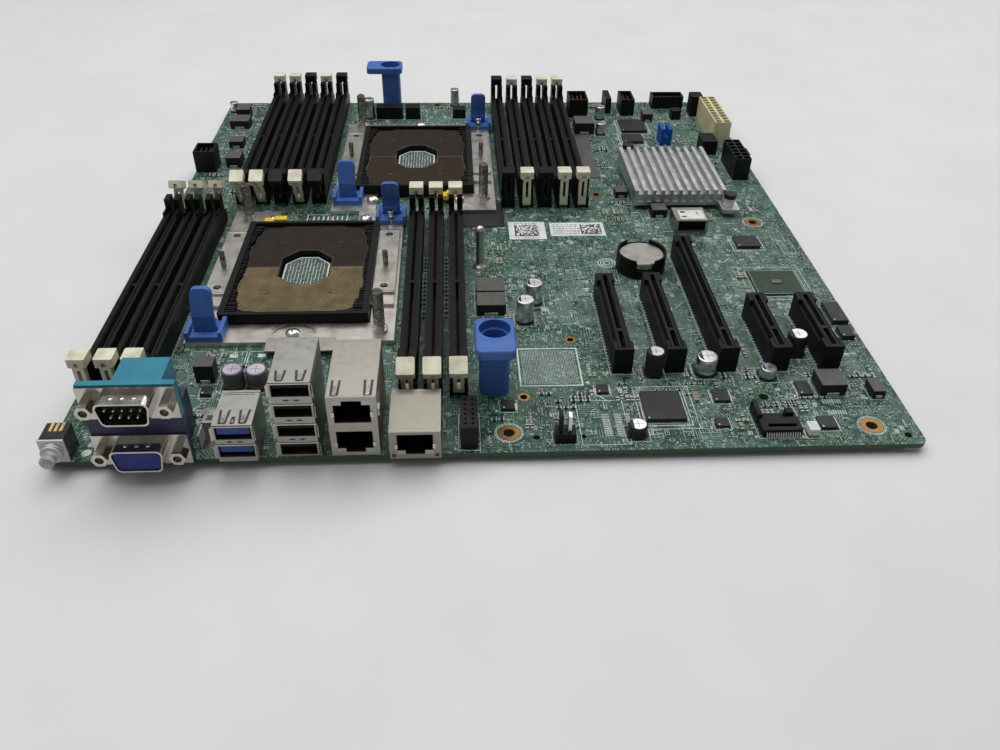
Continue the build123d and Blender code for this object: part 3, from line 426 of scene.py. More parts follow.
def green_mask():
    """Solder mask over copper: patches of tracks, small pads, filled areas and vias, and a layered edge."""
    g = Graph("green_mask")
    patch = g.cells(7.0, "CHEBYCHEV")[1]
    split = g.add("ShaderNodeSeparateColor")
    g.put(split.inputs[0], patch)
    red, green, blue = split.outputs
    angle = g.times(g.maths("FLOOR", g.times(red, 4.0)), math.pi / 4)
    across = g.plus(g.times(g.x, g.maths("COSINE", angle)),
                     g.times(g.y, g.maths("SINE", angle)))
    pitch = g.between(green, 0.0, 1.0, 0.55 * MM, 1.1 * MM)
    wave = g.maths("SINE", g.maths("DIVIDE", g.times(across, 2 * math.pi), pitch))
    gate = g.maths("GREATER_THAN", g.plus(g.noise(2.2, 3.0), g.times(blue, 0.25)), 0.58)
    tracks = g.times(g.between(wave, 0.2, 0.5), gate)
    filled = g.between(g.noise(9.0, 4.0, 0.7), 0.50, 0.53)
    fine = pad_layer(g, 0.9, 1.7, 0.36, 0.62, 0.22)
    wide = pad_layer(g, 1.9, 1.1, 0.60, 0.42, 0.15)
    tall = pad_layer(g, 2.3, 4.1, 0.12, 0.70, 0.22)
    vias = g.between(g.cells(1.9, spread=0.8)[0], 0.18, 0.13)
    colour = g.mix(filled, (0.0072, 0.037, 0.023), (0.016, 0.075, 0.048))
    colour = g.mix(tracks, colour, (0.130, 0.220, 0.175))
    colour = g.mix(g.times(vias, 0.8), colour, (0.22, 0.33, 0.27))
    marks = g.maths("MAXIMUM", fine, g.maths("MAXIMUM", wide, tall))
    colour = g.mix(g.times(marks, 0.85), colour, (0.33, 0.42, 0.37))
    edge = g.maths("LESS_THAN", g.maths("ABSOLUTE", g.facing()), 0.5)
    layers = g.between(g.wave(g.z, GLASS_LAYER * MM), -1.0, 1.0)
    glass = g.mix(layers, (0.020, 0.055, 0.024), (0.045, 0.085, 0.036))
    colour = g.mix(edge, colour, glass)
    height = g.plus(tracks, g.plus(filled, g.plus(vias, marks)))
    roughness = g.drifting(4.0, 0.38, 0.52)
    return g.done(colour, roughness, 0.0, g.bump(height, 0.03), Coat_Weight=0.05, Coat_Roughness=0.3,
                  Specular_IOR_Level=0.30)


def socket_field(name, dark, light, rough):
    """The moulded floor of a socket, pricked with contact pockets; the dark colour that marks the pockets is
    painted shade.
    """
    g = Graph(name)
    distance = g.cells(0.9, "MANHATTAN", 0.0)[0]
    # painted shade: the dark pattern stands in for the depth of the pockets
    colour = g.mix(g.between(distance, 0.25, 0.6), light, dark)
    return g.done(colour, rough, 0.0, g.bump(distance, 0.05))


def knurled_steel():
    """Bright nickel below, dark diamond-knurled steel above the foot of each tall post."""
    g = Graph("knurled_posts")
    upper = g.maths("GREATER_THAN", g.z, place(0, 0, POST_FOOT_Z).z)
    turn = g.maths("ARCTAN2", g.noise(1.5), g.noise(2.0))
    across = g.plus(g.x, g.y)
    first = g.wave(g.plus(across, g.z), KNURL_PITCH * MM)
    second = g.wave(g.maths("SUBTRACT", across, g.z), KNURL_PITCH * MM)
    knurl = g.times(g.times(first, second), upper)
    stained = g.mix(g.between(g.noise(2.0), 0.35, 0.65), (0.10, 0.095, 0.08), (0.26, 0.25, 0.22))
    colour = g.mix(upper, (0.72, 0.71, 0.68), stained)
    roughness = g.between(turn, 0.4, 1.2, 0.16, 0.34)
    return g.done(colour, roughness, 1.0, g.bump(knurl, 0.10))


def by_place(name, colour, patches, rough=0.4, metallic=0.0, grain=0.35, depth=0.008, spread=0.16, **numbers):
    """One material that changes colour inside given boxes: patches is (low, high, colour)."""
    g = Graph(name)
    shade = colour
    for low, high, other in patches:
        shade = g.mix(g.within(low, high), shade, other)
    drift = g.drifting(9.0, 1.0 - spread, 1.0 + spread)
    scaled = g.add("ShaderNodeVectorMath", operation="SCALE")
    if isinstance(shade, tuple):
        scaled.inputs[0].default_value = shade
    else:
        g.put(scaled.inputs[0], shade)
    g.put(scaled.inputs["Scale"], drift)
    roughness = g.drifting(2.5, rough - 0.06, rough + 0.1)
    return g.done(scaled.outputs[0], roughness, metallic, g.bump(g.noise(grain, 2.0), depth), **numbers)


def by_height(name, side_colour, painted_lit_top_colour):
    """Dark sides and a paler top face: the paler top is painted light from above, in uneven patches."""
    g = Graph(name)
    top = g.mix(g.drifting(2.5, 0.0, 0.35), painted_lit_top_colour, side_colour)
    # painted light: faces that look up take the paler top colour, the sides stay dark
    colour = g.mix(g.between(g.facing(), 0.6, 0.9), side_colour, top)
    return g.done(colour, 0.5, 0.0, g.bump(g.noise(0.4, 2.0), 0.02), Specular_IOR_Level=0.3)


DEEP_BLACK = (0.0070, 0.0072, 0.0074)
BLACK = plastic("black_nylon", DEEP_BLACK, 0.50, Specular_IOR_Level=0.16)
SOCKET_BLACK = plastic("socket_nylon", (0.0060, 0.0062, 0.0060), 0.46, ribs=1.7, depth=0.012,
                       Specular_IOR_Level=0.14)
IVORY = plastic("ivory_nylon", (0.68, 0.65, 0.50), 0.45, Subsurface_Weight=0.08, Subsurface_Scale=0.002)
BLUE = plastic("blue_plastic", (0.052, 0.140, 0.430), 0.42, spread=0.12, Specular_IOR_Level=0.35)
USB_BLUE = plastic("usb_blue", (0.016, 0.060, 0.300), 0.35)
VGA_BLUE = plastic("video_blue", (0.014, 0.026, 0.230), 0.40, Specular_IOR_Level=0.3)
TEAL = by_place("d_stack_plastic", (0.005, 0.011, 0.060),
                [((None, None, 20.4), (None, None, None), (0.014, 0.200, 0.290))], 0.38)
YELLOW = plastic("yellow_film", (0.72, 0.55, 0.02), 0.35)
CLEAR = plastic("clear_plunger", (0.80, 0.82, 0.83), 0.12, Transmission_Weight=0.75, IOR=1.49)
CHROME = metal("nickel_plate", (0.58, 0.55, 0.50), 0.16, (1, 1, 8))
CELL_STEEL = metal("cell_steel", (0.50, 0.475, 0.435), 0.34, depth=0.0008, spread=0.05)
CAGE = metal("tinned_cage", (0.44, 0.42, 0.38), 0.32, (1, 9, 1), 0.001, 0.04)
PLATE = metal("satin_steel", (0.62, 0.59, 0.54), 0.34, (9, 1, 1), 0.001, 0.07)
GOLD = metal("gold_contact", (0.78, 0.55, 0.24), 0.30)
DARK_CONTACT = plastic("shaded_contact", (0.020, 0.017, 0.011), 0.45)
TINNED_PAD = plastic("tinned_pad", (0.42, 0.48, 0.45), 0.45)
GREY_FOAM = plastic("grey_foam", (0.075, 0.072, 0.068), 0.7, 0.5, 0.02)
GREY_SLEEVE = plastic("grey_sleeve", (0.11, 0.10, 0.11), 0.4)
WINDOW_GREEN = plastic("window_green", (0.050, 0.085, 0.066), 0.5, 1.2)
SOLDER = metal("solder", (0.66, 0.67, 0.66), 0.28, depth=0.02)
ALUMINIUM = metal("extruded_aluminium", (0.60, 0.60, 0.60), 0.42, (1, 0.08, 1), 0.012)
CAN = metal("can_aluminium", (0.68, 0.68, 0.67), 0.30)
# the ferrite's paler top colour is painted light from above
FERRITE = by_height("ferrite", (0.012, 0.012, 0.012), (0.105, 0.100, 0.092))
CHIP = plastic("chip_epoxy", (0.018, 0.018, 0.018), 0.45, 0.2, 0.006, Specular_IOR_Level=0.3)
CERAMIC = plastic("ceramic", (0.20, 0.16, 0.11), 0.4, 0.2)
PACKAGE_GREEN = plastic("package_green", (0.014, 0.034, 0.018), 0.42, Specular_IOR_Level=0.3)
PRINT = plastic("white_print", (0.60, 0.66, 0.62), 0.6, 0.5, 0.003)
TRACK = plastic("covered_track", (0.130, 0.220, 0.175), 0.42, 0.6, 0.004)
COPPER = metal("bare_copper", (0.30, 0.155, 0.050), 0.36)
LABEL = plastic("label_paper", (0.66, 0.68, 0.67), 0.5, 0.4, 0.003)
# real label ink, and also painted shade in cage slits and in the video socket's holes
INK_AND_HOLE_SHADE = plastic("label_ink_and_hole_shade", (0.035, 0.036, 0.038), 0.6)
LAVENDER = plastic("lavender_film", (0.52, 0.46, 0.55), 0.35)
MASK = green_mask()


# ---- materials on the CAD nodes ----
def paint_node(node, material):
    """Puts a material in a CAD node's first place."""
    mesh = frame["nodes"][node].data
    if mesh.materials:
        mesh.materials[0] = material
    else:
        mesh.materials.append(material)


def over(box):
    """The two corners that take in a CAD solid at any height, for by_place."""
    reach = 0.1
    return (box[0] - reach, box[2] - reach, None), (box[1] + reach, box[3] + reach, None)


def paint_nodes():
    """Gives every CAD node its material; where one node mixes colours, by the boxes of its solids."""
    connectors = solids("cable_connectors")
    power = max(connectors, key=lambda box: box[3] - box[2])
    header = blue_header_box(connectors)
    patches = [(*over(power), (0.60, 0.55, 0.33)), (*over(header), (0.010, 0.085, 0.36))]
    cages = solids("port_cages")
    usb_left = cages[2][0] - 1.0
    single_left = cages[3][0] - 1.0
    button = solids("id_button_housing")[0]
    behind_collar = ((None, button[2] + 3.1, None), (None, None, None), DEEP_BLACK)
    chosen = {
        "circuit_board": MASK, "memory_sockets_front": SOCKET_BLACK, "memory_sockets_rear": SOCKET_BLACK,
        "cpu_sockets": BLACK, "bolster_plates": PLATE, "cpu_backplates": PLATE,
        "socket_posts_and_screws": knurled_steel(), "clip_bases": BLUE, "pcie_slots": BLACK,
        "battery_holder": BLACK, "coin_cell": CELL_STEEL, "chipset_heatsink": ALUMINIUM,
        "heatsink_push_pins": by_place("push_pin_plastic", (0.72, 0.72, 0.70),
                                       [((None, None, 8.4), (None, None, None), DEEP_BLACK)], 0.35),
        "serial_vga_housing": TEAL, "dsub_shells": CHROME,
        "port_cages": by_place("stamped_cages", (0.40, 0.375, 0.33),
                               [((None, None, None), (usb_left, None, None), (0.37, 0.36, 0.335)),
                                # painted reflection and shade: the single network cage's darker, browner tone
                                # stands in for the memory latches mirrored in it and their shadows
                                ((single_left, None, None), (None, 30.0, None), (0.31, 0.29, 0.25))],
                               0.36, 1.0, 1.2, 0.003, 0.04),
        "id_button_housing": by_place("button_body", (0.60, 0.59, 0.57), [behind_collar], 0.3, 0.0),
        "id_button_cap": CLEAR, "tray_handles": BLUE,
        "cable_connectors": by_place("connector_plastic", DEEP_BLACK, patches, 0.46, Specular_IOR_Level=0.18),
    }
    for node, material in chosen.items():
        paint_node(node, material)
    for node in frame["nodes"]:
        if node.startswith("memory_latch"):
            slot = slot_of(node)
            paint_node(node, IVORY if slot == "white_plastic" else BLACK)
        if node.startswith("retention_clip"):
            paint_node(node, BLUE)


def slot_of(node):
    """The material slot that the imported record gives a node."""
    for part in frame["record"]["subparts"]:
        if part["node"] == node:
            return part["material_slot"]
    return ""


def blue_header_box(connectors):
    """The small header that stands behind the chipset's heatsink."""
    sink = solids("chipset_heatsink")[0]
    behind = [box for box in connectors if box[2] > sink[3] and sink[0] < box[0] and box[1] < sink[1] - 8.0]
    return min(behind, key=lambda box: box[2])


# ---- what stands where ----
def standing_tree():
    """Everything that stands on the board, for finding free places."""
    points, faces = [], []
    for node, holder in frame["nodes"].items():
        if node == "circuit_board" or node == "cpu_backplates":
            continue
        first = len(points)
        points += [vert.co.copy() for vert in holder.data.vertices]
        faces += [[first + number for number in face.vertices] for face in holder.data.polygons]
    return BVHTree.FromPolygons(points, faces)


STANDING = standing_tree()
LOOK_DOWN = 0.1
EDGE = 1.0
COPPER_SQUARE = (163.8, 186.7, 36.8, 60.0)
FIRST_LABEL = (165.7, 183.7, 149.6, 167.2)
SECOND_LABEL = (186.0, 212.7, 152.6, 166.0)
RIGHT_PAD = (211.0, 219.0, 217.0, 277.0)
MIDDLE_PAD = (143.7, 164.0, 162.5, 187.4)
PORT_PAD = (64.5, 91.5, 57.5, 66.0)
PAD_COLUMNS = (191.5, 198.6, 7.4, 19.8)
PAD_LADDER = (275.0, 282.0, 16.6, 25.4)
SOCKET_BOX = (67.0, 86.0, 169.6, 176.6)
RING_MARK = (209.1, 126.7)
GUIDE_PIN = (150.7, 125.3)
DATUM = (BOARD_X - HOLE_INSET_X, HOLE_INSET_Y)
MAIN_HOLES = [DATUM, (DATUM[0], DATUM[1] + HOLE_ROW_PITCH), (DATUM[0] - FRONT_HOLE_SPAN, DATUM[1])]
SMALL_HOLES = [(213.9, 197.3, 1.6), (129.6, 326.1, 1.6), (185.5, 66.2, 1.3), (164.1, 30.0, 1.3)]
BARE_HOLES = [(253.8, 27.5), (299.5, 4.7), (167.0, 7.5), (183.5, 7.5)]


def around(x, y, reach):
    return (x - reach, x + reach, y - reach, y + reach)


KEEP_CLEAR = [COPPER_SQUARE, FIRST_LABEL, SECOND_LABEL, RIGHT_PAD, MIDDLE_PAD, PORT_PAD,
              PAD_COLUMNS, PAD_LADDER, SOCKET_BOX, around(*RING_MARK, 5.0), around(*GUIDE_PIN, 4.5)]
KEEP_CLEAR += [around(x, y, 5.6) for x, y in MAIN_HOLES]
KEEP_CLEAR += [around(x, y, 3.2) for x, y, radius in SMALL_HOLES]
KEEP_CLEAR += [around(x, y, 2.4) for x, y in BARE_HOLES]


def is_clear(x0, x1, y0, y1):
    """True where a patch of the board keeps off everything printed or laid there on purpose."""
    for left, right, front, back in KEEP_CLEAR:
        if x1 > left and x0 < right and y1 > front and y0 < back:
            return False
    return True


def is_free(x0, x1, y0, y1):
    """True where nothing stands over a small patch of the board."""
    on_board = x0 >= EDGE and y0 >= EDGE and x1 <= BOARD_X - EDGE and y1 <= BOARD_Y - EDGE
    if not on_board or not is_clear(x0, x1, y0, y1):
        return False
    for x in (x0, (x0 + x1) / 2, x1):
        for y in (y0, (y0 + y1) / 2, y1):
            start = place(x, y) + Vector((0, 0, LOOK_DOWN))
            if STANDING.ray_cast(start, Vector((0, 0, -1)), LOOK_DOWN - 0.01 * MM)[0]:
                return False
    return True


# ---- print, tracks and pads on the board ----
COPPER_RING_R = 4.0


def mounting_rings():
    """Copper rings round the screw holes, on both faces."""
    rings = Shape("mounting_rings", COPPER, PRINT)
    for z in (PRINT_Z, -BOARD_THICK - PRINT_Z):
        for x, y in MAIN_HOLES:
            rings.ring(x, y, MOUNT_HOLE_R + 0.15, COPPER_RING_R, z)
            for inner in (4.4, 4.9):
                rings.ring(x, y, inner, inner + 0.2, z, 1)
        for x, y, radius in SMALL_HOLES:
            rings.ring(x, y, radius + 0.1, radius + 1.0, z)
    rings.done("bright_steel")


BUNDLES = 700
PRINT_TRIES = 2600
PAD_TRIES = 2600


def track_bundle(shape, points, count, pitch, width):
    """Parallel tracks that follow one line, with a via at each end."""
    for number in range(count):
        offset = (number - (count - 1) / 2) * pitch
        line = beside(points, offset)
        shape.ribbon(line, width, PRINT_Z * 0.5)
        for end in (line[0], line[-1]):
            shape.disc(end[0], end[1], 0.24, PRINT_Z * 0.6, 1)


def random_bundles(shape, wanted):
    """Short bundles with 45 degree bends, all over the free parts of the board."""
    turns = [Vector((1, 0)), Vector((1, 1)).normalized(), Vector((0, 1)), Vector((-1, 1)).normalized(),
             Vector((-1, 0)), Vector((-1, -1)).normalized(), Vector((0, -1)), Vector((1, -1)).normalized()]
    for number in range(wanted):
        x, y = LAID_OUT.uniform(4, BOARD_X - 4), LAID_OUT.uniform(4, BOARD_Y - 4)
        heading = LAID_OUT.choice([0, 2, 2, 4, 6, 6, 1, 3])
        points = [(x, y)]
        for leg in range(LAID_OUT.choice([2, 3, 3, 4])):
            length = LAID_OUT.uniform(3, 11) if leg % 2 else LAID_OUT.uniform(5, 20)
            step = turns[heading] * length
            points.append((points[-1][0] + step.x, points[-1][1] + step.y))
            heading = (heading + LAID_OUT.choice([-1, 1])) % 8
        count = LAID_OUT.choice([3, 4, 5, 6, 8, 10])
        reach = count * 0.35 + 2.5
        inside = all(reach < px < BOARD_X - reach and reach < py < BOARD_Y - reach for px, py in points)
        low = [min(point[axis] for point in points) - reach for axis in range(2)]
        high = [max(point[axis] for point in points) + reach for axis in range(2)]
        if inside and is_clear(low[0], high[0], low[1], high[1]):
            track_bundle(shape, points, count, LAID_OUT.choice([0.5, 0.6, 0.75]), 0.2)


def tracks():
    """Tracks between the slots and the memory sockets, then bundles all over the board."""
    shape = Shape("covered_tracks", TRACK, PRINT)
    slots = solids("pcie_slots")
    for left, right in zip(slots, slots[1:]):
        middle = (left[1] + right[0]) / 2
        back = min(left[3], right[3])
        line = [(middle, left[2] + 2), (middle, back), (middle - 8, back + 10), (middle - 8, back + 26)]
        track_bundle(shape, line, 10, 0.75, 0.3)
    for node in MEMORY_NODES:
        sockets = solids(node)
        for left, right in zip(sockets, sockets[1:]):
            gap = right[0] - left[1]
            if gap < 4:
                x = (left[1] + right[0]) / 2
                track_bundle(shape, [(x, left[2] + 14), (x, left[3] - 14)], 3, 0.6, 0.25)
    random_bundles(shape, BUNDLES)
    shape.done("board_green")


def outlines(shape):
    """White print round the parts, with a small triangle at pin one."""
    for node in ("chips", "inductors", "capacitors", "cable_connectors", "pcie_slots"):
        for x0, x1, y0, y1, z0, z1 in solids(node):
            gap = 0.7
            inside = x0 > 2 and y0 > 2 and x1 < BOARD_X - 2 and y1 < BOARD_Y - 2
            if inside:
                shape.frame_line(x0 - gap, x1 + gap, y0 - gap, y1 + gap, 0.2, PRINT_Z)
                shape.sheet([(x0 - 2.2, y0 - 0.6), (x0 - 1.3, y0 + 0.2), (x0 - 2.2, y0 + 1.0)], PRINT_Z)


def loose_print(shape):
    """Small printed frames, corner marks and bars, set square to the board as on any dense layout."""
    for number in range(PRINT_TRIES):
        x, y = LAID_OUT.uniform(3, BOARD_X - 6), LAID_OUT.uniform(3, BOARD_Y - 6)
        length, across = LAID_OUT.choice([(1.6, 0.9), (0.9, 1.6), (2.4, 1.4), (1.3, 2.6), (3.4, 2.2)])
        if not is_free(x, x + length, y, y + across):
            continue
        kind = LAID_OUT.random()
        if kind < 0.4:
            shape.frame_line(x, x + length, y, y + across, 0.12, PRINT_Z)
        elif kind < 0.6:
            shape.tile(x, x + length, y, y + 0.16, PRINT_Z)
            shape.tile(x, x + 0.16, y, y + across, PRINT_Z)
        else:
            for bar in range(3):
                shape.tile(x + bar * 0.62, x + bar * 0.62 + 0.26, y, y + across, PRINT_Z)


def long_outlines(shape):
    """Thin printed borders of areas: the two empty capacitor places and the boxes near the front edge."""
    borders = [(47.6, 57.2, 43.2, 61.3), (58.4, 68.0, 43.2, 61.3), (183.0, 200.0, 3.0, 27.0),
               (205.4, 226.0, 10.6, 34.6), (294.8, 300.8, 133.6, 146.1), (268.6, 296.4, 94.0, 121.0)]
    for border in borders:
        shape.frame_line(*border, 0.22, PRINT_Z)
    shape.tile(51.0, 54.0, 57.6, 59.8, PRINT_Z)
    shape.tile(61.8, 64.8, 57.6, 59.8, PRINT_Z)


def printed_marks():
    """All the white print, with plain bars in place of the socket's name and rings for the round mark."""
    shape = Shape("white_print", PRINT)
    outlines(shape)
    loose_print(shape)
    long_outlines(shape)
    shape.frame_line(*SOCKET_BOX, 0.45, PRINT_Z)
    for number in range(7):
        x = SOCKET_BOX[0] + 2.6 + number * 2.3
        shape.tile(x, x + 0.7, SOCKET_BOX[2] + 1.6, SOCKET_BOX[3] - 1.6, PRINT_Z)
    for radius in (1.3, 2.6, 3.8):
        shape.ring(*RING_MARK, radius, radius + 0.4, PRINT_Z)
    shape.done("board_green")


def pad_rows():
    """Bare solder pads: two empty footprints, test points and one large round pad."""
    shape = Shape("solder_pads", SOLDER, TINNED_PAD)
    x0, x1, y0, y1 = PAD_COLUMNS
    for row in range(13):
        y = y0 + row * 0.95
        shape.tile(x0, x0 + 2.6, y, y + 0.5, PRINT_Z * 1.5, 1)
        shape.tile(x1 - 2.6, x1, y, y + 0.5, PRINT_Z * 1.5, 1)
    x0, x1, y0, y1 = PAD_LADDER
    for column in range(8):
        x = x0 + column * 0.9
        shape.tile(x, x + 0.5, y0, y0 + 2.4, PRINT_Z, 1)
        shape.tile(x, x + 0.5, y1 - 2.4, y1, PRINT_Z, 1)
    for number in range(PAD_TRIES):
        x, y = LAID_OUT.uniform(3, BOARD_X - 3), LAID_OUT.uniform(3, BOARD_Y - 3)
        if is_free(x - 0.5, x + 0.5, y - 0.5, y + 0.5):
            shape.disc(x, y, LAID_OUT.choice([0.2, 0.28, 0.4]), PRINT_Z * 1.1, 1)
    shape.disc(13.4, 4.2, 1.7, PRINT_Z, 0, 20)
    shape.done("bright_steel")


def solder_tails():
    """The soldered tails along the slots and one memory socket, and the small parts in the socket gaps."""
    shape = Shape("socket_solder_tails", TINNED_PAD)
    for x0, x1, y0, y1, z0, z1 in solids("pcie_slots"):
        for number in range(int((y1 - y0 - 2 * SLOT_END) / 2.0)):
            y = y0 + SLOT_END + number * 2.0
            shape.block(x0 - 0.9, x0 - 0.02, y, y + 0.6, 0, 0.3)
    sockets = solids("memory_sockets_front")
    x0, x1, y0, y1, z0, z1 = sockets[2]
    for number in range(30):
        shape.block(x1 + 0.3, x1 + 1.0, y0 + 8 + number * 1.6, y0 + 8.7 + number * 1.6, 0, 0.3)
    shape.done("bright_steel")
    caps = Shape("socket_gap_capacitors", CERAMIC, CHIP, TINNED_PAD)
    for left, right in zip(sockets[3:], sockets[4:]):
        middle = (left[1] + right[0]) / 2
        for number in range(15):
            small_part(caps, middle - 0.8, left[2] + 52 + number * 3.4, (1.6, 0.9, 0.6), True, 1)
    caps.done("dark_ferrite")


def underside_joints():
    """Soldered ends of everything whose legs go through the board."""
    shape = Shape("underside_solder", SOLDER)
    low = -BOARD_THICK
    cone = [(0.75, 0.0), (0.45, -0.35), (0.22, -0.95)]

    def joints(x0, x1, y0, y1, columns, rows):
        for column in range(columns):
            for row in range(rows):
                x = x0 + (x1 - x0) * (column / (columns - 1) if columns > 1 else 0.5)
                y = y0 + (y1 - y0) * (row / (rows - 1) if rows > 1 else 0.5)
                shape.turned(x, y, low, cone, steps=7)

    for x0, x1, y0, y1, z0, z1 in solids("port_cages"):
        joints(x0 + 1.5, x1 - 1.5, y0 + 6, y1 - 2, 5, 4)
    for x0, x1, y0, y1, z0, z1 in solids("cable_connectors"):
        joints(x0 + 1.2, x1 - 1.2, y0 + 1.5, y1 - 1.5, max(2, int((x1 - x0) / 3)), max(2, int((y1 - y0) / 3)))
    for x0, x1, y0, y1, z0, z1 in solids("serial_vga_housing"):
        joints(x0 + 6, x1 - 6, y0 + 8, y1 - 2, 9, 4)
    for x0, x1, y0, y1, z0, z1 in solids("capacitors"):
        joints(x0 + 1.5, x1 - 1.5, (y0 + y1) / 2, (y0 + y1) / 2, 2, 1)
    shape.done("bright_steel")


# ---- small surface parts ----
PART_SIZES = [(1.0, 0.55, 0.40), (1.0, 0.55, 0.40), (1.6, 0.85, 0.55), (1.6, 0.85, 0.55), (2.1, 1.3, 0.8)]


def small_part(shape, x, y, size, lies_along_x, body, base=0.0):
    """A resistor or capacitor with silver ends, lying along X or Y."""
    length, width, height = size
    end = length * 0.24
    lengthwise = ((end, length - end, 0.03, body), (0.0, end, 0.0, 2), (length - end, length, 0.0, 2))
    for first, last, inset, paint in lengthwise:
        along, across = (first, last), (inset, width - inset)
        (left, right), (front, back) = (along, across) if lies_along_x else (across, along)
        shape.block(x + left, x + right, y + front, y + back, base, base + height - inset, paint)


def part_cluster(shape, x, y, taken):
    """A row or small block of equal parts; taken keeps clusters off each other."""
    size = LAID_OUT.choice(PART_SIZES)
    along_x = LAID_OUT.random() < 0.5
    body = LAID_OUT.choice([0, 1, 1])
    step_x = (size[0] if along_x else size[1]) + 0.55
    step_y = (size[1] if along_x else size[0]) + 0.55
    for column in range(LAID_OUT.choice([1, 2, 3, 4, 6])):
        for row in range(LAID_OUT.choice([1, 1, 2, 3])):
            px, py = x + column * step_x, y + row * step_y
            cell = (int(px / 2.2), int(py / 2.2))
            if cell in taken or not is_free(px - 0.3, px + step_x, py - 0.3, py + step_y):
                continue
            taken.add(cell)
            small_part(shape, px, py, size, along_x, body)


def surface_parts():
    """Hundreds of small parts, thickest near the front edge, the chipset and the power stages."""
    shape = Shape("small_surface_parts", CERAMIC, CHIP, TINNED_PAD)
    taken = set()
    zones = [(150, 302, 3, 42, 97), (140, 302, 42, 72, 39), (262, 303, 60, 160, 29), (205, 292, 232, 328, 84),
             (2, 32, 180, 328, 58), (225, 302, 150, 180, 19), (18, 58, 18, 66, 39), (92, 148, 300, 328, 16),
             (206, 232, 150, 290, 32), (112, 165, 60, 190, 32), (112, 146, 2, 30, 10), (55, 96, 17, 36, 11),
             (186, 202, 70, 150, 9), (76, 86, 2, 30, 9), (134, 148, 180, 300, 9)]
    for x0, x1, y0, y1, count in zones:
        for number in range(count):
            part_cluster(shape, LAID_OUT.uniform(x0, x1), LAID_OUT.uniform(y0, y1), taken)
    shape.done("dark_ferrite")


# ---- chips, inductors, capacitors ----
def legs(shape, x0, x1, y0, y1, pitch, across_x, across_y):
    """Rows of gull-wing legs on the chosen sides of a chip."""
    reach, wide, root = 0.95, pitch * 0.5, 0.1
    if across_y:
        for number in range(int((x1 - x0 - 0.6) / pitch)):
            x = x0 + 0.5 + number * pitch
            for near, far in ((y0 - reach, y0 + root), (y1 - root, y1 + reach)):
                shape.block(x, x + wide, near, far, 0.02, 0.25, 1)
    if across_x:
        for number in range(int((y1 - y0 - 0.6) / pitch)):
            y = y0 + 0.5 + number * pitch
            for near, far in ((x0 - reach, x0 + root), (x1 - root, x1 + reach)):
                shape.block(near, far, y, y + wide, 0.02, 0.25, 1)


def chips():
    """Flat chips: legs and a pin one dot on the low ones, a printed frame and a bare die on others."""
    shape = Shape("chip_packages", CHIP, SOLDER, PACKAGE_GREEN, PRINT, GREY_SLEEVE)
    for x0, x1, y0, y1, z0, z1 in solids("chips"):
        width, depth = x1 - x0, y1 - y0
        is_green = width > 20 and depth < 25
        if is_green:
            shape.block(x0, x1, y0, y1, 0.25, 0.75, 2)
            middle_x, middle_y = (x0 + x1) / 2, (y0 + y1) / 2
            shape.block(middle_x - 2.2, middle_x + 2.2, middle_y - 1.4, middle_y + 1.4, 0.75, 1.15, 4)
            shape.frame_line(x0 + 0.6, x1 - 0.6, y0 + 0.6, y1 - 0.6, 0.12, 0.77, 1)
            continue
        shape.block(x0, x1, y0, y1, 0.12, z1, 0)
        if z1 > 2.25:
            continue
        shape.disc(x0 + 0.9, y0 + 0.9, 0.35, z1 + 0.02, 3, 12)
        is_wide = width > 9
        pitch = 0.6 if is_wide else 0.95
        legs(shape, x0, x1, y0, y1, pitch, is_wide or width < depth, is_wide or width >= depth)
        if width > 9 and depth > 9:
            shape.frame_line(x0 - 1.7, x1 + 1.7, y0 - 1.7, y1 + 1.7, 0.3, PRINT_Z, 3)
    shape.done("black_plastic", stands_for=["chips"], bevel=0.06)


def inductors():
    """Pressed power inductors: rounded grey blocks with folded tinned ends."""
    shape = Shape("power_inductors", FERRITE, SOLDER, LABEL)
    for x0, x1, y0, y1, z0, z1 in solids("inductors"):
        is_white = x0 > 260 and y1 < 12
        shape.block(x0, x1, y0, y1, 0.3, z1, 2 if is_white else 0)
        wide = (x1 - x0) * 0.5
        middle = (x0 + x1) / 2
        for outer, inner in ((y0 - 0.35, y0 + 0.4), (y1 - 0.4, y1 + 0.35)):
            shape.block(middle - wide / 2, middle + wide / 2, outer, inner, 0.02, min(1.5, z1 * 0.5), 1)
    shape.done("dark_ferrite", stands_for=["inductors"], bevel=0.25)


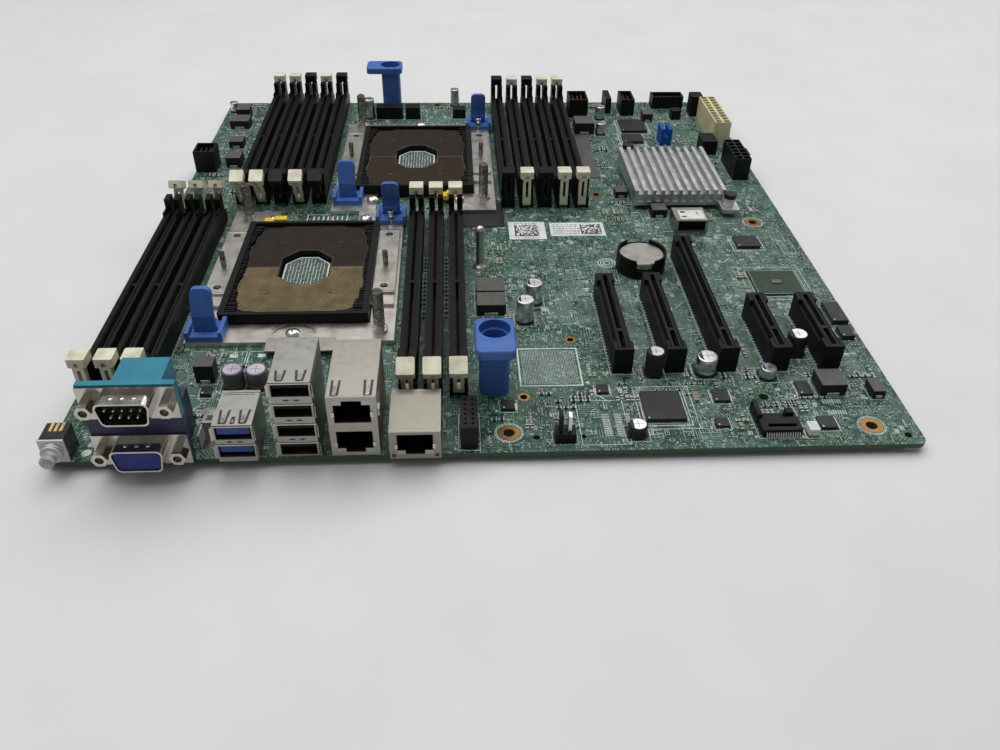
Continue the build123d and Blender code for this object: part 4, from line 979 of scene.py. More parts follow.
def capacitor(shape, box, cap_paint, side_paint):
    """An aluminium can on its square foot, with a crimped waist, a marked top and a vent cross in painted
    shade.
    """
    x0, x1, y0, y1, z0, height = box
    radius = (x1 - x0) / 2
    x, y = (x0 + x1) / 2, (y0 + y1) / 2
    cut = radius * 0.45
    foot = [(x0 + cut, y0), (x1 - cut, y0), (x1, y0 + cut), (x1, y1), (x0, y1), (x0, y0 + cut)]
    low = [(px, py, 0.02) for px, py in foot]
    high = [(px, py, 0.8) for px, py in foot]
    sides = [(number, (number + 1) % 6, 6 + (number + 1) % 6, 6 + number) for number in range(6)]
    shape.add(low + high, sides + [(5, 4, 3, 2, 1, 0), (6, 7, 8, 9, 10, 11)], 1)
    waist = 0.8 + (height - 0.8) * 0.16
    profile = [(radius * 0.94, 0.8), (radius * 0.98, 1.1), (radius * 0.98, waist),
               (radius * 0.88, waist + 0.35), (radius * 0.98, waist + 0.7), (radius * 0.98, height - 0.5),
               (radius * 0.92, height - 0.12), (radius * 0.84, height)]
    shape.turned(x, y, 0, profile, side_paint)
    shape.disc(x, y, radius * 0.80, height + 0.02, cap_paint, 28)
    arc = [math.pi * (0.70 + 0.60 * step / 14) for step in range(15)]
    mark = 3 if cap_paint == 0 and height < 5 and y > 30 else 1
    if cap_paint == 0:
        shape.sheet([(x + radius * 0.80 * math.cos(a), y + radius * 0.80 * math.sin(a)) for a in arc],
                    height + 0.035, mark)
    # painted shade: the vent cross is drawn as dark lines for the shade in its stamped grooves
    for turn in (0.0, math.pi / 2):
        dx, dy = math.cos(turn) * radius * 0.5, math.sin(turn) * radius * 0.5
        shape.ribbon([(x - dx, y - dy), (x + dx, y + dy)], 0.16, height + 0.045, 1)


def capacitors():
    """Lavender tops on grey sleeves by the ports, black sleeves near the front edge, bare cans elsewhere."""
    shape = Shape("round_capacitors", CAN, CHIP, LAVENDER, VGA_BLUE, GREY_SLEEVE)
    ports_end = solids("port_cages")[1][0]
    for box in solids("capacitors"):
        x, y, radius = (box[0] + box[1]) / 2, (box[2] + box[3]) / 2, (box[1] - box[0]) / 2
        near_ports = x < ports_end and y < 60
        is_black = (box[5] > 8.5 and x > 200 and y < 60) or (x > 195 and y < 20)
        cap = 2 if near_ports else 0
        side = 4 if near_ports else 1 if is_black else 0
        capacitor(shape, box, cap, side)
    shape.done("can_aluminium", stands_for=["capacitors"])


# ---- memory sockets ----
MEMORY_CONTACT_PITCH = 1.7


def memory_contacts():
    """Two rows of contact springs in the shade of each memory socket's groove."""
    shape = Shape("memory_contacts", DARK_CONTACT)
    for node in MEMORY_NODES:
        for x0, x1, y0, y1, z0, z1 in solids(node):
            middle = (x0 + x1) / 2
            for number in range(int((y1 - y0 - 2 * TOWER_LENGTH) / MEMORY_CONTACT_PITCH)):
                y = y0 + TOWER_LENGTH + number * MEMORY_CONTACT_PITCH
                for side in (-1, 1):
                    shape.block(middle + side * 0.78, middle + side * 0.52, y, y + 0.7, 3.4, 8.4)
    shape.done("bright_steel")


def memory_side_marks():
    """The key across each groove, the raised ends of its walls and the rail along each wall."""
    shape = Shape("memory_socket_keys", SOCKET_BLACK)
    for node in MEMORY_NODES:
        for x0, x1, y0, y1, z0, z1 in solids(node):
            middle = (x0 + x1) / 2
            key = y0 + (y1 - y0) * 0.46
            shape.block(middle - 0.9, middle + 0.9, key, key + 2.2, 2.8, 9.42)
            rail = (x1 - x0) / 2 - 1.9
            for side in (-1, 1):
                edge = middle + side * (x1 - x0) / 2
                inner = edge - side * 0.9
                shape.block(edge, inner, y0 + 9.5, y0 + 15.0, WALL_TOP_Z, 11.2)
                shape.block(edge, inner, y1 - 15.0, y1 - 9.5, WALL_TOP_Z, 11.2)
                line = middle + side * rail
                shape.block(line - 0.35, line + 0.35, y0 + 15.5, y1 - 15.5, WALL_TOP_Z, 9.95)
    shape.done("black_plastic", bevel=0.12)


# ---- processor sockets ----
FIELD_X = 26.6
FIELD_Y = 37.7
FIELD_Z = 5.02
WELL_X = 27.8
WELL_Y = 38.0
WINDOW_X = 11.05
WINDOW_Y = 14.55
WINDOW_CUT = 7.0
WINDOW_FLOOR_Z = 2.3
# the right half of one contact field's outline, from the socket's middle line to its outer end
FIELD_STEPS = [(25.6, 0.0), (25.9, 9.0), (26.6, 13.0), (26.6, 18.5), (25.4, 21.0), (25.4, 27.0), (24.0, 29.5),
               (23.6, 33.0), (20.6, 35.0), (15.0, 35.4), (14.0, 37.7)]
CONTACT_PITCH_X = 0.99
CONTACT_PITCH_Y = 0.86


def in_window(x, y):
    """True inside a socket's open eight-sided middle."""
    half_x, half_y = abs(x), abs(y)
    if half_x > WINDOW_X or half_y > WINDOW_Y:
        return False
    return half_x + half_y < WINDOW_X + WINDOW_Y - WINDOW_CUT


def half_width(y):
    """How far a contact field reaches to either side at a distance from the middle line."""
    away = abs(y)
    for (near_x, near_y), (far_x, far_y) in zip(FIELD_STEPS, FIELD_STEPS[1:]):
        if away <= far_y:
            return near_x + (far_x - near_x) * (away - near_y) / (far_y - near_y)
    return 0.0


def keeps_contact(x, y):
    """The field's outline steps in at its sides and ends, and leaves two small bare marks."""
    if abs(x) > half_width(y) - 0.5:
        return False
    if in_window(x * 0.94, y * 0.94):
        return False
    return (abs(x) - 13.2) ** 2 + (abs(y) - 22.0) ** 2 > 1.3


def contact_field(name, centre_x, centre_y, front_paint, back_paint):
    """Thousands of bent leaf contacts; the front half leans forward and the back half leans back."""
    shape = Shape(name, front_paint, back_paint)
    columns = int(FIELD_X / CONTACT_PITCH_X)
    rows = int(FIELD_Y / CONTACT_PITCH_Y)
    for row in range(-rows, rows + 1):
        y = row * CONTACT_PITCH_Y
        shift = 0.5 * CONTACT_PITCH_X if row % 2 else 0.0
        for column in range(-columns, columns + 1):
            x = column * CONTACT_PITCH_X + shift
            if not keeps_contact(x, y) or abs(y) < 0.6:
                continue
            front = y < 0
            px, py = centre_x + x, centre_y + y
            lean = -0.34 if front else 0.34
            shape.leaning(px - 0.27, px + 0.27, py - 0.20, py + 0.02, FIELD_Z, FIELD_Z + 0.42, 0.10, lean,
                          0 if front else 1)
    return shape


def field_floor(name, centre_x, centre_y, front_paint, back_paint):
    """The moulded floor between the contacts, in two halves round the window."""
    shape = Shape(name, front_paint, back_paint)
    for side, paint in ((-1, 0), (1, 1)):
        outline = [(-WINDOW_X, 0.0), (-WINDOW_X, WINDOW_Y - WINDOW_CUT),
                   (WINDOW_CUT - WINDOW_X, WINDOW_Y), (WINDOW_X - WINDOW_CUT, WINDOW_Y),
                   (WINDOW_X, WINDOW_Y - WINDOW_CUT), (WINDOW_X, 0.0)]
        outline += FIELD_STEPS
        outline += [(-x, y) for x, y in reversed(FIELD_STEPS)]
        points = [(centre_x + x, centre_y + side * y) for x, y in outline]
        if side > 0:
            points = points[::-1]
        shape.sheet(points, FIELD_Z + 0.02, paint)
    return shape


def window_details(centre_x, centre_y, shape):
    """What shows through a socket's window: rows of small capacitors and a pale printed rim."""
    outline = []
    for sx, sy in ((1, -1), (1, 1), (-1, 1), (-1, -1)):
        near = (sx * (WINDOW_X - WINDOW_CUT), sy * (WINDOW_Y - 1.0))
        far = (sx * (WINDOW_X - 1.0), sy * (WINDOW_Y - WINDOW_CUT))
        outline += [near, far] if (sx, sy) in ((1, -1), (-1, 1)) else [far, near]
    closed = outline + outline[:1]
    floor = WINDOW_FLOOR_Z
    shape.sheet([(centre_x + x, centre_y + y) for x, y in outline], floor, 4)
    shape.ribbon([(centre_x + x * 0.95, centre_y + y * 0.95) for x, y in closed], 0.7, floor + PRINT_Z, 3)
    for column in range(11):
        x = centre_x - 7.5 + column * 1.5
        reach = 12.2 if abs(x - centre_x) < 4.5 else 8.2
        shape.ribbon([(x, centre_y - reach), (x, centre_y + reach)], 0.22, floor + PRINT_Z, 3)
        for row in range(7):
            y = centre_y - 10.4 + row * 3.3
            if in_window((x - centre_x) * 1.35, (y - centre_y) * 1.2) and (column + row) % 3 == 0:
                small_part(shape, x - 0.4, y, (1.2, 0.7, 0.4), False, 0, floor + 0.05)


def jagged_rim(centre_x, centre_y, shape):
    """Small teeth round the inside edge of the black frame."""
    step = 1.6
    for side in (-1, 1):
        for number in range(int(2 * WELL_Y / step)):
            y = -WELL_Y + number * step
            outer = side * WELL_X
            inner = side * max(half_width(y) + LAID_OUT.uniform(0.0, 0.5), WELL_X - 4.0)
            top = 6.0 + LAID_OUT.uniform(0.0, 0.5)
            shape.block(centre_x + outer, centre_x + inner, centre_y + y, centre_y + y + 0.85, 4.9, top)
    for side in (-1, 1):
        for number in range(int(2 * WELL_X / step)):
            x = centre_x - WELL_X + number * step
            length = LAID_OUT.uniform(0.2, 0.6)
            outer = centre_y + side * WELL_Y
            inner = outer - side * length
            shape.block(x, x + 0.9, outer, inner, 4.9, 6.2)


def processor_sockets():
    """Both contact fields: gold at the front of the front socket, brown and umber elsewhere. The colours are
    painted light and shade on one kind of gilt contact: the front halves, whose contacts lean forward, take
    lit copies, gold and the dimmer umber, and the back halves a shaded brown copy; the floors between them
    follow the same split.
    """
    # painted light and shade: lit, dimly lit and shaded copies of the same contacts and of the floor round
    # them
    gold = plastic("field_gold_painted_lit", (0.60, 0.46, 0.24), 0.42, spread=0.3)
    brown = plastic("field_brown_painted_shade", (0.044, 0.029, 0.020), 0.5, Specular_IOR_Level=0.2)
    umber = plastic("field_umber_painted_dim_light", (0.125, 0.085, 0.052), 0.5, Specular_IOR_Level=0.2)
    lit_gold_floor = socket_field("pocket_gold_painted_lit", (0.060, 0.045, 0.022), (0.18, 0.135, 0.065), 0.6)
    shaded_brown_floor = socket_field("pocket_brown_painted_shade", (0.012, 0.0085, 0.006), (0.026, 0.018, 0.012), 0.6)
    dim_lit_umber_floor = socket_field("pocket_umber_painted_dim_light", (0.040, 0.028, 0.018), (0.085, 0.060, 0.038), 0.6)
    looks = {"front": (gold, brown, lit_gold_floor, shaded_brown_floor),
             "rear": (umber, brown, dim_lit_umber_floor, shaded_brown_floor)}
    boxes = sorted(solids("cpu_sockets"), key=lambda box: box[2])
    small = Shape("window_parts", CERAMIC, CHIP, TINNED_PAD, PRINT, WINDOW_GREEN)
    rims = Shape("socket_rim_teeth", BLACK)
    for name, box in zip(("front", "rear"), boxes):
        x, y = (box[0] + box[1]) / 2, (box[2] + box[3]) / 2
        front_paint, back_paint, front_floor, back_floor = looks[name]
        contact_field(f"contacts_{name}", x, y, front_paint, back_paint).done("bright_steel")
        field_floor(f"contact_floor_{name}", x, y, front_floor, back_floor).done("black_plastic")
        window_details(x, y, small)
        jagged_rim(x, y, rims)
    small.done("dark_ferrite")
    rims.done("black_plastic")
    yellow_tabs(boxes)


def yellow_tabs(boxes):
    """A yellow film tab beside one of each socket's paired screws."""
    shape = Shape("yellow_tabs", YELLOW)
    for box, side, shift in zip(boxes, (1, -1), (-25.5, 11.5)):
        left = (box[0] + box[1]) / 2 + shift
        y = (box[2] + box[3]) / 2
        shape.block(left, left + 11.0, y + side * 43.0, y + side * 48.0, 2.25, 4.6)
        shape.block(left + 5.0, left + 11.0, y + side * 43.6, y + side * 47.4, 4.6, 5.8)
    shape.done("blue_plastic", bevel=0.15)


# ---- expansion slots ----
def slot_contacts():
    """Contact springs in the expansion slots, and the moulded rails along their tops."""
    contacts = Shape("slot_contacts", DARK_CONTACT)
    rails = Shape("slot_rails", BLACK)
    for x0, x1, y0, y1, z0, z1 in solids("pcie_slots"):
        middle = (x0 + x1) / 2
        for number in range(int(y1 - y0 - 2 * SLOT_END)):
            y = y0 + SLOT_END + number
            if 9.5 < y - y0 < 12.0:
                continue
            for side in (-1, 1):
                contacts.block(middle + side * 0.93, middle + side * 0.66, y, y + 0.5, 3.0, 10.0)
        for side in (-1, 1):
            rails.block(middle + side * 2.35, middle + side * 1.95, y0 + 1.0, y1 - 1.0, z1 - 0.05, z1)
    contacts.done("bright_steel")
    rails.done("black_plastic")


# ---- ports ----
D_PIN_PITCH = 2.77
D_ROW_HALF = 1.42
BLUE_PORT_LEVELS = [(2.0, 7.2), (9.8, 15.2)]
QUAD_PORT_LEVELS = [(0.8, 5.9), (9.0, 14.1), (17.4, 22.5), (26.0, 31.1)]


def pins(shape, x, z, y0, y1, radius, paint):
    """A round pin along Y with a tapered front end."""
    length = y1 - y0
    profile = [(radius, 0.0), (radius, radius - length), (radius * 0.4, -length)]
    shape.turned(x, y1, z, profile, paint, 10, "y")


def d_connectors():
    """Nine pins in the upper shell, fifteen sockets in the blue face of the lower one, shown as dark discs of
    painted shade.
    """
    shells = sorted(solids("dsub_shells"), key=lambda box: box[4])
    lower, upper = shells
    x = (upper[0] + upper[1]) / 2
    front = upper[2]
    flange = front + 5.0
    shape = Shape("serial_pins", BLACK, SOLDER)
    z = (upper[4] + upper[5]) / 2
    for row, count in ((1, 5), (-1, 4)):
        for number in range(count):
            pin_x = x + (number - (count - 1) / 2) * D_PIN_PITCH
            pins(shape, pin_x, z + row * D_ROW_HALF, flange - 4.6, flange - 1.0, 0.5, 1)
    face = [(-7.6, 3.4), (7.6, 3.4), (6.5, -3.4), (-6.5, -3.4)]
    back = flange - 1.2
    shape.add([(x + px, back, z + pz) for px, pz in face], [(3, 2, 1, 0)], 0)
    shape.done("bright_steel")
    video = Shape("video_socket_face", VGA_BLUE, INK_AND_HOLE_SHADE)
    z = (lower[4] + lower[5]) / 2
    out = lower[2] + 0.5
    face = [(-6.9, 3.75), (6.9, 3.75), (7.7, 2.9), (6.9, -3.0),
            (6.1, -3.75), (-6.1, -3.75), (-6.9, -3.0), (-7.7, 2.9)]
    near = [(x + px, out, z + pz) for px, pz in face]
    far = [(x + px, flange, z + pz) for px, pz in face]
    sides = [(number, (number + 1) % 8, 8 + (number + 1) % 8, 8 + number) for number in range(8)]
    video.add(near + far, [tuple(range(7, -1, -1))] + sides, 0)
    # painted shade: each socket hole is a dark disc in front of the face, with no real hole
    for row in range(3):
        for number in range(5):
            px = x + (number - 2) * 2.29 + (0.55 if row == 1 else 0.0)
            pz = z + (1 - row) * 1.98
            video.turned(px, out - 0.03, pz, [(0.50, 0.0), (0.50, 0.5)], 1, 12, "y")
    video.done("blue_plastic")
    dimples = Shape("shell_dimples", CHROME)
    bump = [(0.95, 0.0), (0.75, 0.28), (0.3, 0.42)]
    for shell in shells:
        top = (shell[4] + shell[5]) / 2 + 4.5
        for number in (-1, 0, 1):
            dimples.turned(x + number * 3.6, shell[2] + 2.9, top - 0.12, bump, 0, 14)
    dimples.done("bright_steel")


def spring_cut(shape, x, y, top, width, length, slant, dark=0, bright=1):
    """A sprung finger cut in a cage's top: two slits that lean apart and a raised tip; the slits, along and
    across, are dark sheets of painted shade.
    """
    thin = 0.85
    for side in (-1, 1):
        foot = x + side * width / 2
        head = x + side * (width / 2 + slant)
        outline = [(foot - thin / 2, y), (foot + thin / 2, y),
                   (head + thin / 2, y + length), (head - thin / 2, y + length)]
        # painted shade: a dark sheet where the slit opens into the cage
        shape.sheet(outline, top + 0.02, dark)
    shape.tile(x - width / 2, x + width / 2, y - thin / 3, y + thin / 3, top + 0.02, dark)
    half = width * 0.30
    shape.leaning(x - half, x + half, y + 0.3, y + length * 0.6, top - 0.25, top + 0.14, 0.0, 0.1, bright)


def port_rims(shape, x0, x1, front, low, high, flare):
    """Bright lips that flare out at the left and right of a port."""
    for side, x in ((-1, x0), (1, x1)):
        points = [(x, front, low), (x, front, high), (x + side * flare, front - flare, high + 0.1),
                  (x + side * flare, front - flare, low - 0.1)]
        thick = [(px - side * 0.22, py + 0.12, pz) for px, py, pz in points]
        faces = [(0, 1, 2, 3), (7, 6, 5, 4), (0, 3, 7, 4), (1, 5, 6, 2), (2, 6, 7, 3), (0, 4, 5, 1)]
        shape.add(points + thick, faces, 0)


def usb_ports():
    """The tongues, fingers, slits and lips of both USB stacks."""
    cages = solids("port_cages")
    blue, quad = cages[0], cages[1]
    fingers = Shape("usb_cage_springs", INK_AND_HOLE_SHADE, CHROME)
    rims = Shape("usb_cage_lips", CHROME, INK_AND_HOLE_SHADE)
    tongues = Shape("usb_tongues", BLACK, USB_BLUE, GOLD)
    for cage, paint, length, levels in ((blue, 1, 7.0, BLUE_PORT_LEVELS), (quad, 0, 5.6, QUAD_PORT_LEVELS)):
        x0, x1, y0, y1, z0, z1 = cage
        middle = (x0 + x1) / 2
        for side in (-1, 1):
            spring_cut(fingers, middle + side * 3.3, y0 + 0.9, z1, 1.9, length, 0.55)
        for low, high in levels:
            port_rims(rims, x0, x1, y0, low, high, 0.75)
            rims.block(x0 - 0.3, x1 + 0.3, y0 - 0.28, y0 + 0.02, high, high + 0.42, 0)
            shelf = low + 1.9 if paint else (low + high) / 2 + 0.6
            tongues.block(x0 + 0.75, x1 - 0.75, y0 + 10.6, y0 + 10.95, low + 0.05, high - 0.05, 0)
            shelf_top = high - 0.3 if paint else shelf + 1.5
            tongues.block(x0 + 1.2, x1 - 1.2, y0 + 0.5, y0 + 11.0, shelf, shelf_top, paint)
            for number in range(4):
                x = middle + (number - 1.5) * 2.2
                tongues.block(x - 0.5, x + 0.5, y0 + 1.4, y0 + 9.0, shelf - 0.10, shelf, 2)
            for x in (x0 + 0.62, x1 - 0.92):
                tongues.block(x, x + 0.3, y0 + 0.5, y0 + 10.6, low + 0.05, high - 0.05, 0)
        for below, above in zip(levels, levels[1:]):
            z = (below[1] + above[0]) / 2 + 0.2
            for side in (-1, 1):
                x = middle + side * 1.7
                outline = [(x - 1.3, z), (x, z + 0.45), (x + 1.3, z), (x, z - 0.4)]
                rims.add([(px, y0 - 0.02, pz) for px, pz in outline], [(0, 1, 2, 3)][::-1], 1)
    x0, x1, y0, y1, z0, z1 = blue
    middle = (x0 + x1) / 2
    spring_cut(fingers, middle, y0 + 0.9, z1, 0.9, 3.4, -0.25)
    fingers.tile(x0 + 1.6, x1 - 1.6, y1 - 2.4, y1 - 2.1, z1 + 0.02, 0)
    fingers.block(x0, x1, y1 - 1.5, y1 - 1.1, z1 - 0.02, z1 + 0.06, 1)
    tongues.done("black_plastic", stands_for=["port_inserts"])
    fingers.done("tinned_steel")
    rims.done("tinned_steel")


def network_ports():
    """Dark linings, contact wires, stepped openings, lips and sprung fingers of the network ports."""
    cages = solids("port_cages")
    dual, single = cages[2], cages[3]
    lining = Shape("network_linings", BLACK)
    wires = Shape("network_contacts", DARK_CONTACT)
    face = Shape("network_faces", CAGE, INK_AND_HOLE_SHADE, CHROME)
    ports = [(dual, 1.6, 10.8, False), (dual, 14.6, 23.8, True), (single, 2.0, 10.6, False)]
    half, depth = 6.1, 13.0
    for cage, low, high, key_up in ports:
        x0, x1, y0, y1, z0, z1 = cage
        middle = (x0 + x1) / 2
        left, right = middle - half, middle + half
        wall = 0.35
        near, far = y0 + 0.4, y0 + depth - 0.1
        lining.block(left, left + wall, near, far, low, high)
        lining.block(right - wall, right, near, far, low, high)
        lining.block(left, right, near, far, low, low + wall)
        lining.block(left, right, near, far, high - wall, high)
        lining.block(left, right, y0 + depth - 0.5, far, low, high)
        for number in range(8):
            x = middle + (number - 3.5) * 1.02
            wires.block(x - 0.16, x + 0.16, y0 + 4.0, y0 + 10.0, low + 1.6, low + 1.9)
        step = 1.7
        edge = high if key_up else low
        inner = edge - step if key_up else edge + step
        face.block(left, middle - 3.3, y0, y0 + 0.4, edge, inner, 0)
        face.block(middle + 3.3, right, y0, y0 + 0.4, edge, inner, 0)
        for side in (-1, 1):
            x = middle + side * (half + 0.3)
            face.block(x - 0.45, x + 0.45, y0 - 0.25, y0 + 0.1, low + 2.6, low + 4.6, 2)
    for cage in (dual, single):
        x0, x1, y0, y1, z0, z1 = cage
        middle = (x0 + x1) / 2
        face.block(x0, x1, y0 + 0.6, y0 + 0.8, z1, z1 + 0.06, 0)
        face.block(x0, x1, y1 - 1.2, y1 - 0.9, z1, z1 + 0.06, 0)
    x0, x1, y0, y1, z0, z1 = dual
    middle = (x0 + x1) / 2
    for side in (-1, 1):
        spring_cut(face, middle + side * 5.4, y0 + 0.7, z1, 2.0, 8.4, 0.2, 1, 2)
        edge = x1 + 0.02 if side > 0 else x0 - 0.02
        face.block(edge, edge + side * 0.5, y0 + 3, y0 + 6, 15.0, 18.0, 2)
    x0, x1, y0, y1, z0, z1 = single
    for x in (x0 + 1.4, x1 - 1.4):
        face.block(x - 0.7, x + 0.7, y0 - 0.06, y0 + 0.5, 0.7, 2.1, 1)
    lining.done("black_plastic")
    wires.done("bright_steel")
    face.done("tinned_steel")


def inner_usb():
    """The plain paper patch on the inner USB cage, and the tongue in its opening."""
    x0, x1, y0, y1, z0, z1 = solids("port_cages")[4]
    shape = Shape("inner_usb_top", LABEL, INK_AND_HOLE_SHADE, BLACK)
    shape.block(x0 + 2.4, x1 - 1.0, y0 + 1.6, y1 - 3.0, z1, z1 + 0.08, 0)
    shape.tile(x0 + 3.2, x0 + 5.6, y1 - 5.8, y1 - 4.0, z1 + 0.1, 1)
    shape.tile(x0 + 3.2, x0 + 5.6, y0 + 3.2, y0 + 4.6, z1 + 0.1, 1)
    shape.tile(x1 - 4.4, x1 - 4.0, y0 + 6.0, y0 + 9.0, z1 + 0.1, 1)
    shape.block(x0 + 3.0, x1 - 3.0, y0 + 1.0, y0 + 10.8, 3.4, 4.8, 2)
    shape.done("tinned_steel")


def identification_button():
    """Gilt contacts on top of the switch and a nut round its collar."""
    x0, x1, y0, y1, z0, z1 = solids("id_button_housing")[0]
    shape = Shape("button_contacts", GOLD, CHROME)
    for number in range(3):
        x = x0 + 2.0 + number * 1.75
        shape.block(x, x + 1.0, y1 - 4.4, y1 - 0.6, 9.55, 9.75, 0)
        shape.block(x, x + 1.0, y1 - 0.6, y1 + 0.15, 0.2, 9.75, 0)
    cap = solids("id_button_cap")[0]
    x, z = (cap[0] + cap[1]) / 2, (cap[4] + cap[5]) / 2
    front = y0 + 2.1
    for along, radius in ((0.0, 3.5), (0.9, 3.3), (1.5, 3.55)):
        nut = [(2.55, 0.0), (radius, 0.05), (radius, 0.42), (2.55, 0.5)]
        shape.turned(x, front - along, z, nut, 1, 24, "y")
    shape.done("bright_steel")


def board_bracket():
    """The bent light bracket beside the D connectors."""
    shape = Shape("d_stack_bracket", CHROME, INK_AND_HOLE_SHADE)
    shape.leaning(51.3, 56.0, 5.0, 5.5, 0.0, 6.4, 0.0, 6.5, 0)
    shape.block(51.3, 56.0, 11.6, 20.0, 5.6, 6.1, 0)
    shape.block(51.3, 51.8, 5.0, 19.0, 0.0, 6.0, 0)
    shape.block(52.6, 54.6, 13.0, 15.6, 6.1, 6.16, 1)
    shape.done("bright_steel", bevel=0.08)


# ---- connectors ----
POWER_PITCH_X = 4.7
HEADER_PITCH = 2.54
# the front left corners of the headers that open upwards
OPEN_HEADERS = [(211.2, 304.0), (244.0, 306.8), (265.8, 318.8), (0.4, 227.6)]


def connector_details():
    """Pins in the open headers, metal in the power plug's holes, and the tails of the drive connector."""
    boxes = solids("cable_connectors")
    power = max(boxes, key=lambda box: box[3] - box[2])
    pins_shape = Shape("connector_pins", GOLD, COPPER, SOLDER)
    pitch = (power[3] - power[2]) / 10
    for column in range(10):
        for row in range(2):
            x = power[0] + (row + 0.5) * POWER_PITCH_X
            y = power[2] + (column + 0.5) * pitch
            pins_shape.block(x - 0.9, x + 0.9, y - 0.9, y + 0.9, 4.0, 11.8, 1)
    for x0, x1, y0, y1, z0, z1 in boxes:
        is_wide = z1 > 7 and min(x1 - x0, y1 - y0) > 8
        is_open = any(abs(x0 - left) < 1.0 and abs(y0 - front) < 1.0 for left, front in OPEN_HEADERS)
        if not is_wide or not is_open:
            continue
        columns = max(1, int((x1 - x0 - 3) / HEADER_PITCH))
        rows = max(1, int((y1 - y0 - 3) / HEADER_PITCH))
        for column in range(columns):
            for row in range(rows):
                x = (x0 + x1) / 2 + (column - (columns - 1) / 2) * HEADER_PITCH
                y = (y0 + y1) / 2 + (row - (rows - 1) / 2) * HEADER_PITCH
                pins_shape.block(x - 0.3, x + 0.3, y - 0.3, y + 0.3, 2.0, z1 - 1.6, 0)
    drive = [box for box in boxes if box[0] > 240 and box[2] < 20][0]
    for number in range(15):
        x = drive[0] + 1.4 + number * 0.84
        pins_shape.leaning(x, x + 0.38, drive[2] - 1.3, drive[2] - 0.9, 0.03, 2.2, 0.0, 0.9, 2)
    prongs = [box for box in boxes if 170 < box[0] < 176 and box[2] < 10][0]
    left = prongs[0] + 4.32
    pins_shape.block(left, left + 1.16, prongs[2] + 1.3, prongs[2] + 4.1, 4.0, 10.9, 2)
    pins_shape.done("bright_steel")


# ---- labels and flat areas ----
def matrix_pattern(shape, x0, y0, size, cells, z):
    """A block of black and white squares, laid out by chance."""
    cell = size / cells
    for column in range(cells):
        for row in range(cells):
            if column == 0 or row == 0 or LAID_OUT.random() < 0.5:
                x, y = x0 + column * cell, y0 + row * cell
                shape.tile(x, x + cell, y, y + cell, z, 1)


def bar_row(shape, x, end, y, tall, lengths, z):
    """Ink bars of chance length in a row, where a label would carry words."""
    while x < end:
        length = LAID_OUT.uniform(*lengths)
        shape.tile(x, x + length, y, y + tall, z, 1)
        x += length + 0.5


def labels():
    """Two paper labels with plain bars and random squares, and no words."""
    shape = Shape("paper_labels", LABEL, INK_AND_HOLE_SHADE)
    shape.block(*FIRST_LABEL, PRINT_Z, PRINT_Z + 0.12)
    shape.block(*SECOND_LABEL, PRINT_Z, PRINT_Z + 0.12)
    top = PRINT_Z + 0.14
    first_x, first_y = FIRST_LABEL[0], FIRST_LABEL[2]
    second_x, second_y = SECOND_LABEL[0], SECOND_LABEL[2]
    matrix_pattern(shape, first_x + 2.9, first_y + 3.0, 11.6, 16, top)
    matrix_pattern(shape, second_x + 15.0, second_y + 1.6, 10.0, 14, top)
    for number in range(6):
        y = second_y + 1.8 + number * 1.8
        bar_row(shape, second_x + 1.4, second_x + 13.5, y, 0.55, (0.5, 1.8), top)
    for y in (first_y + 1.0, first_y + 15.6):
        bar_row(shape, first_x + 2.9, first_x + 14.3, y, 0.7, (0.4, 1.2), top)
    shape.done("board_green")


def flat_areas():
    """The dotted square near the front, two grey thermal pads and the steel flap behind the ports."""
    square = Shape("dotted_copper_square", PRINT, TINNED_PAD)
    x0, x1, y0, y1 = COPPER_SQUARE
    square.frame_line(x0, x1, y0, y1, 0.6, PRINT_Z)
    count = 34
    pitch_x, pitch_y = (x1 - x0 - 1.6) / count, (y1 - y0 - 1.6) / count
    for column in range(count):
        for row in range(count):
            x = x0 + 0.8 + (column + 0.5) * pitch_x
            y = y0 + 0.8 + (row + 0.5) * pitch_y
            square.disc(x, y, 0.2, PRINT_Z, 1, 6)
    square.sheet([(x1 + 1.2, y0 + 1.0), (x1 + 3.0, y0 + 0.2), (x1 + 2.6, y0 + 2.2)], PRINT_Z, 0)
    square.done("board_green")
    pads = Shape("grey_pads", GREY_FOAM, CHIP, CAGE)
    pads.block(*RIGHT_PAD, PRINT_Z, 0.45, 0)
    pads.block(*MIDDLE_PAD, PRINT_Z, 0.45, 1)
    pads.block(*PORT_PAD, 2.25, 3.0, 2)
    pads.done("dark_ferrite", bevel=0.1)


def tall_pin():
    """The slim guide pin near the middle of the board, on its washer."""
    shape = Shape("guide_pin", PLATE)
    profile = [(3.4, 0.05), (3.4, 0.5), (2.1, 0.7), (1.7, 3.0), (1.7, 16.6),
               (2.1, 17.0), (2.1, 18.8), (1.5, 19.9), (0.4, 20.4)]
    shape.turned(*GUIDE_PIN, 0, profile, 0, 24)
    shape.done("bright_steel")


def crystal():
    """A tan ceramic resonator near the front edge, with soldered corners."""
    shape = Shape("crystal", CERAMIC, TINNED_PAD)
    shape.block(226.9, 229.1, 25.0, 30.2, 0.05, 1.1, 0)
    for x in (226.7, 228.7):
        for y in (24.8, 29.6):
            shape.block(x, x + 0.7, y, y + 0.8, 0.03, 0.5, 1)
    shape.done("dark_ferrite", bevel=0.08)


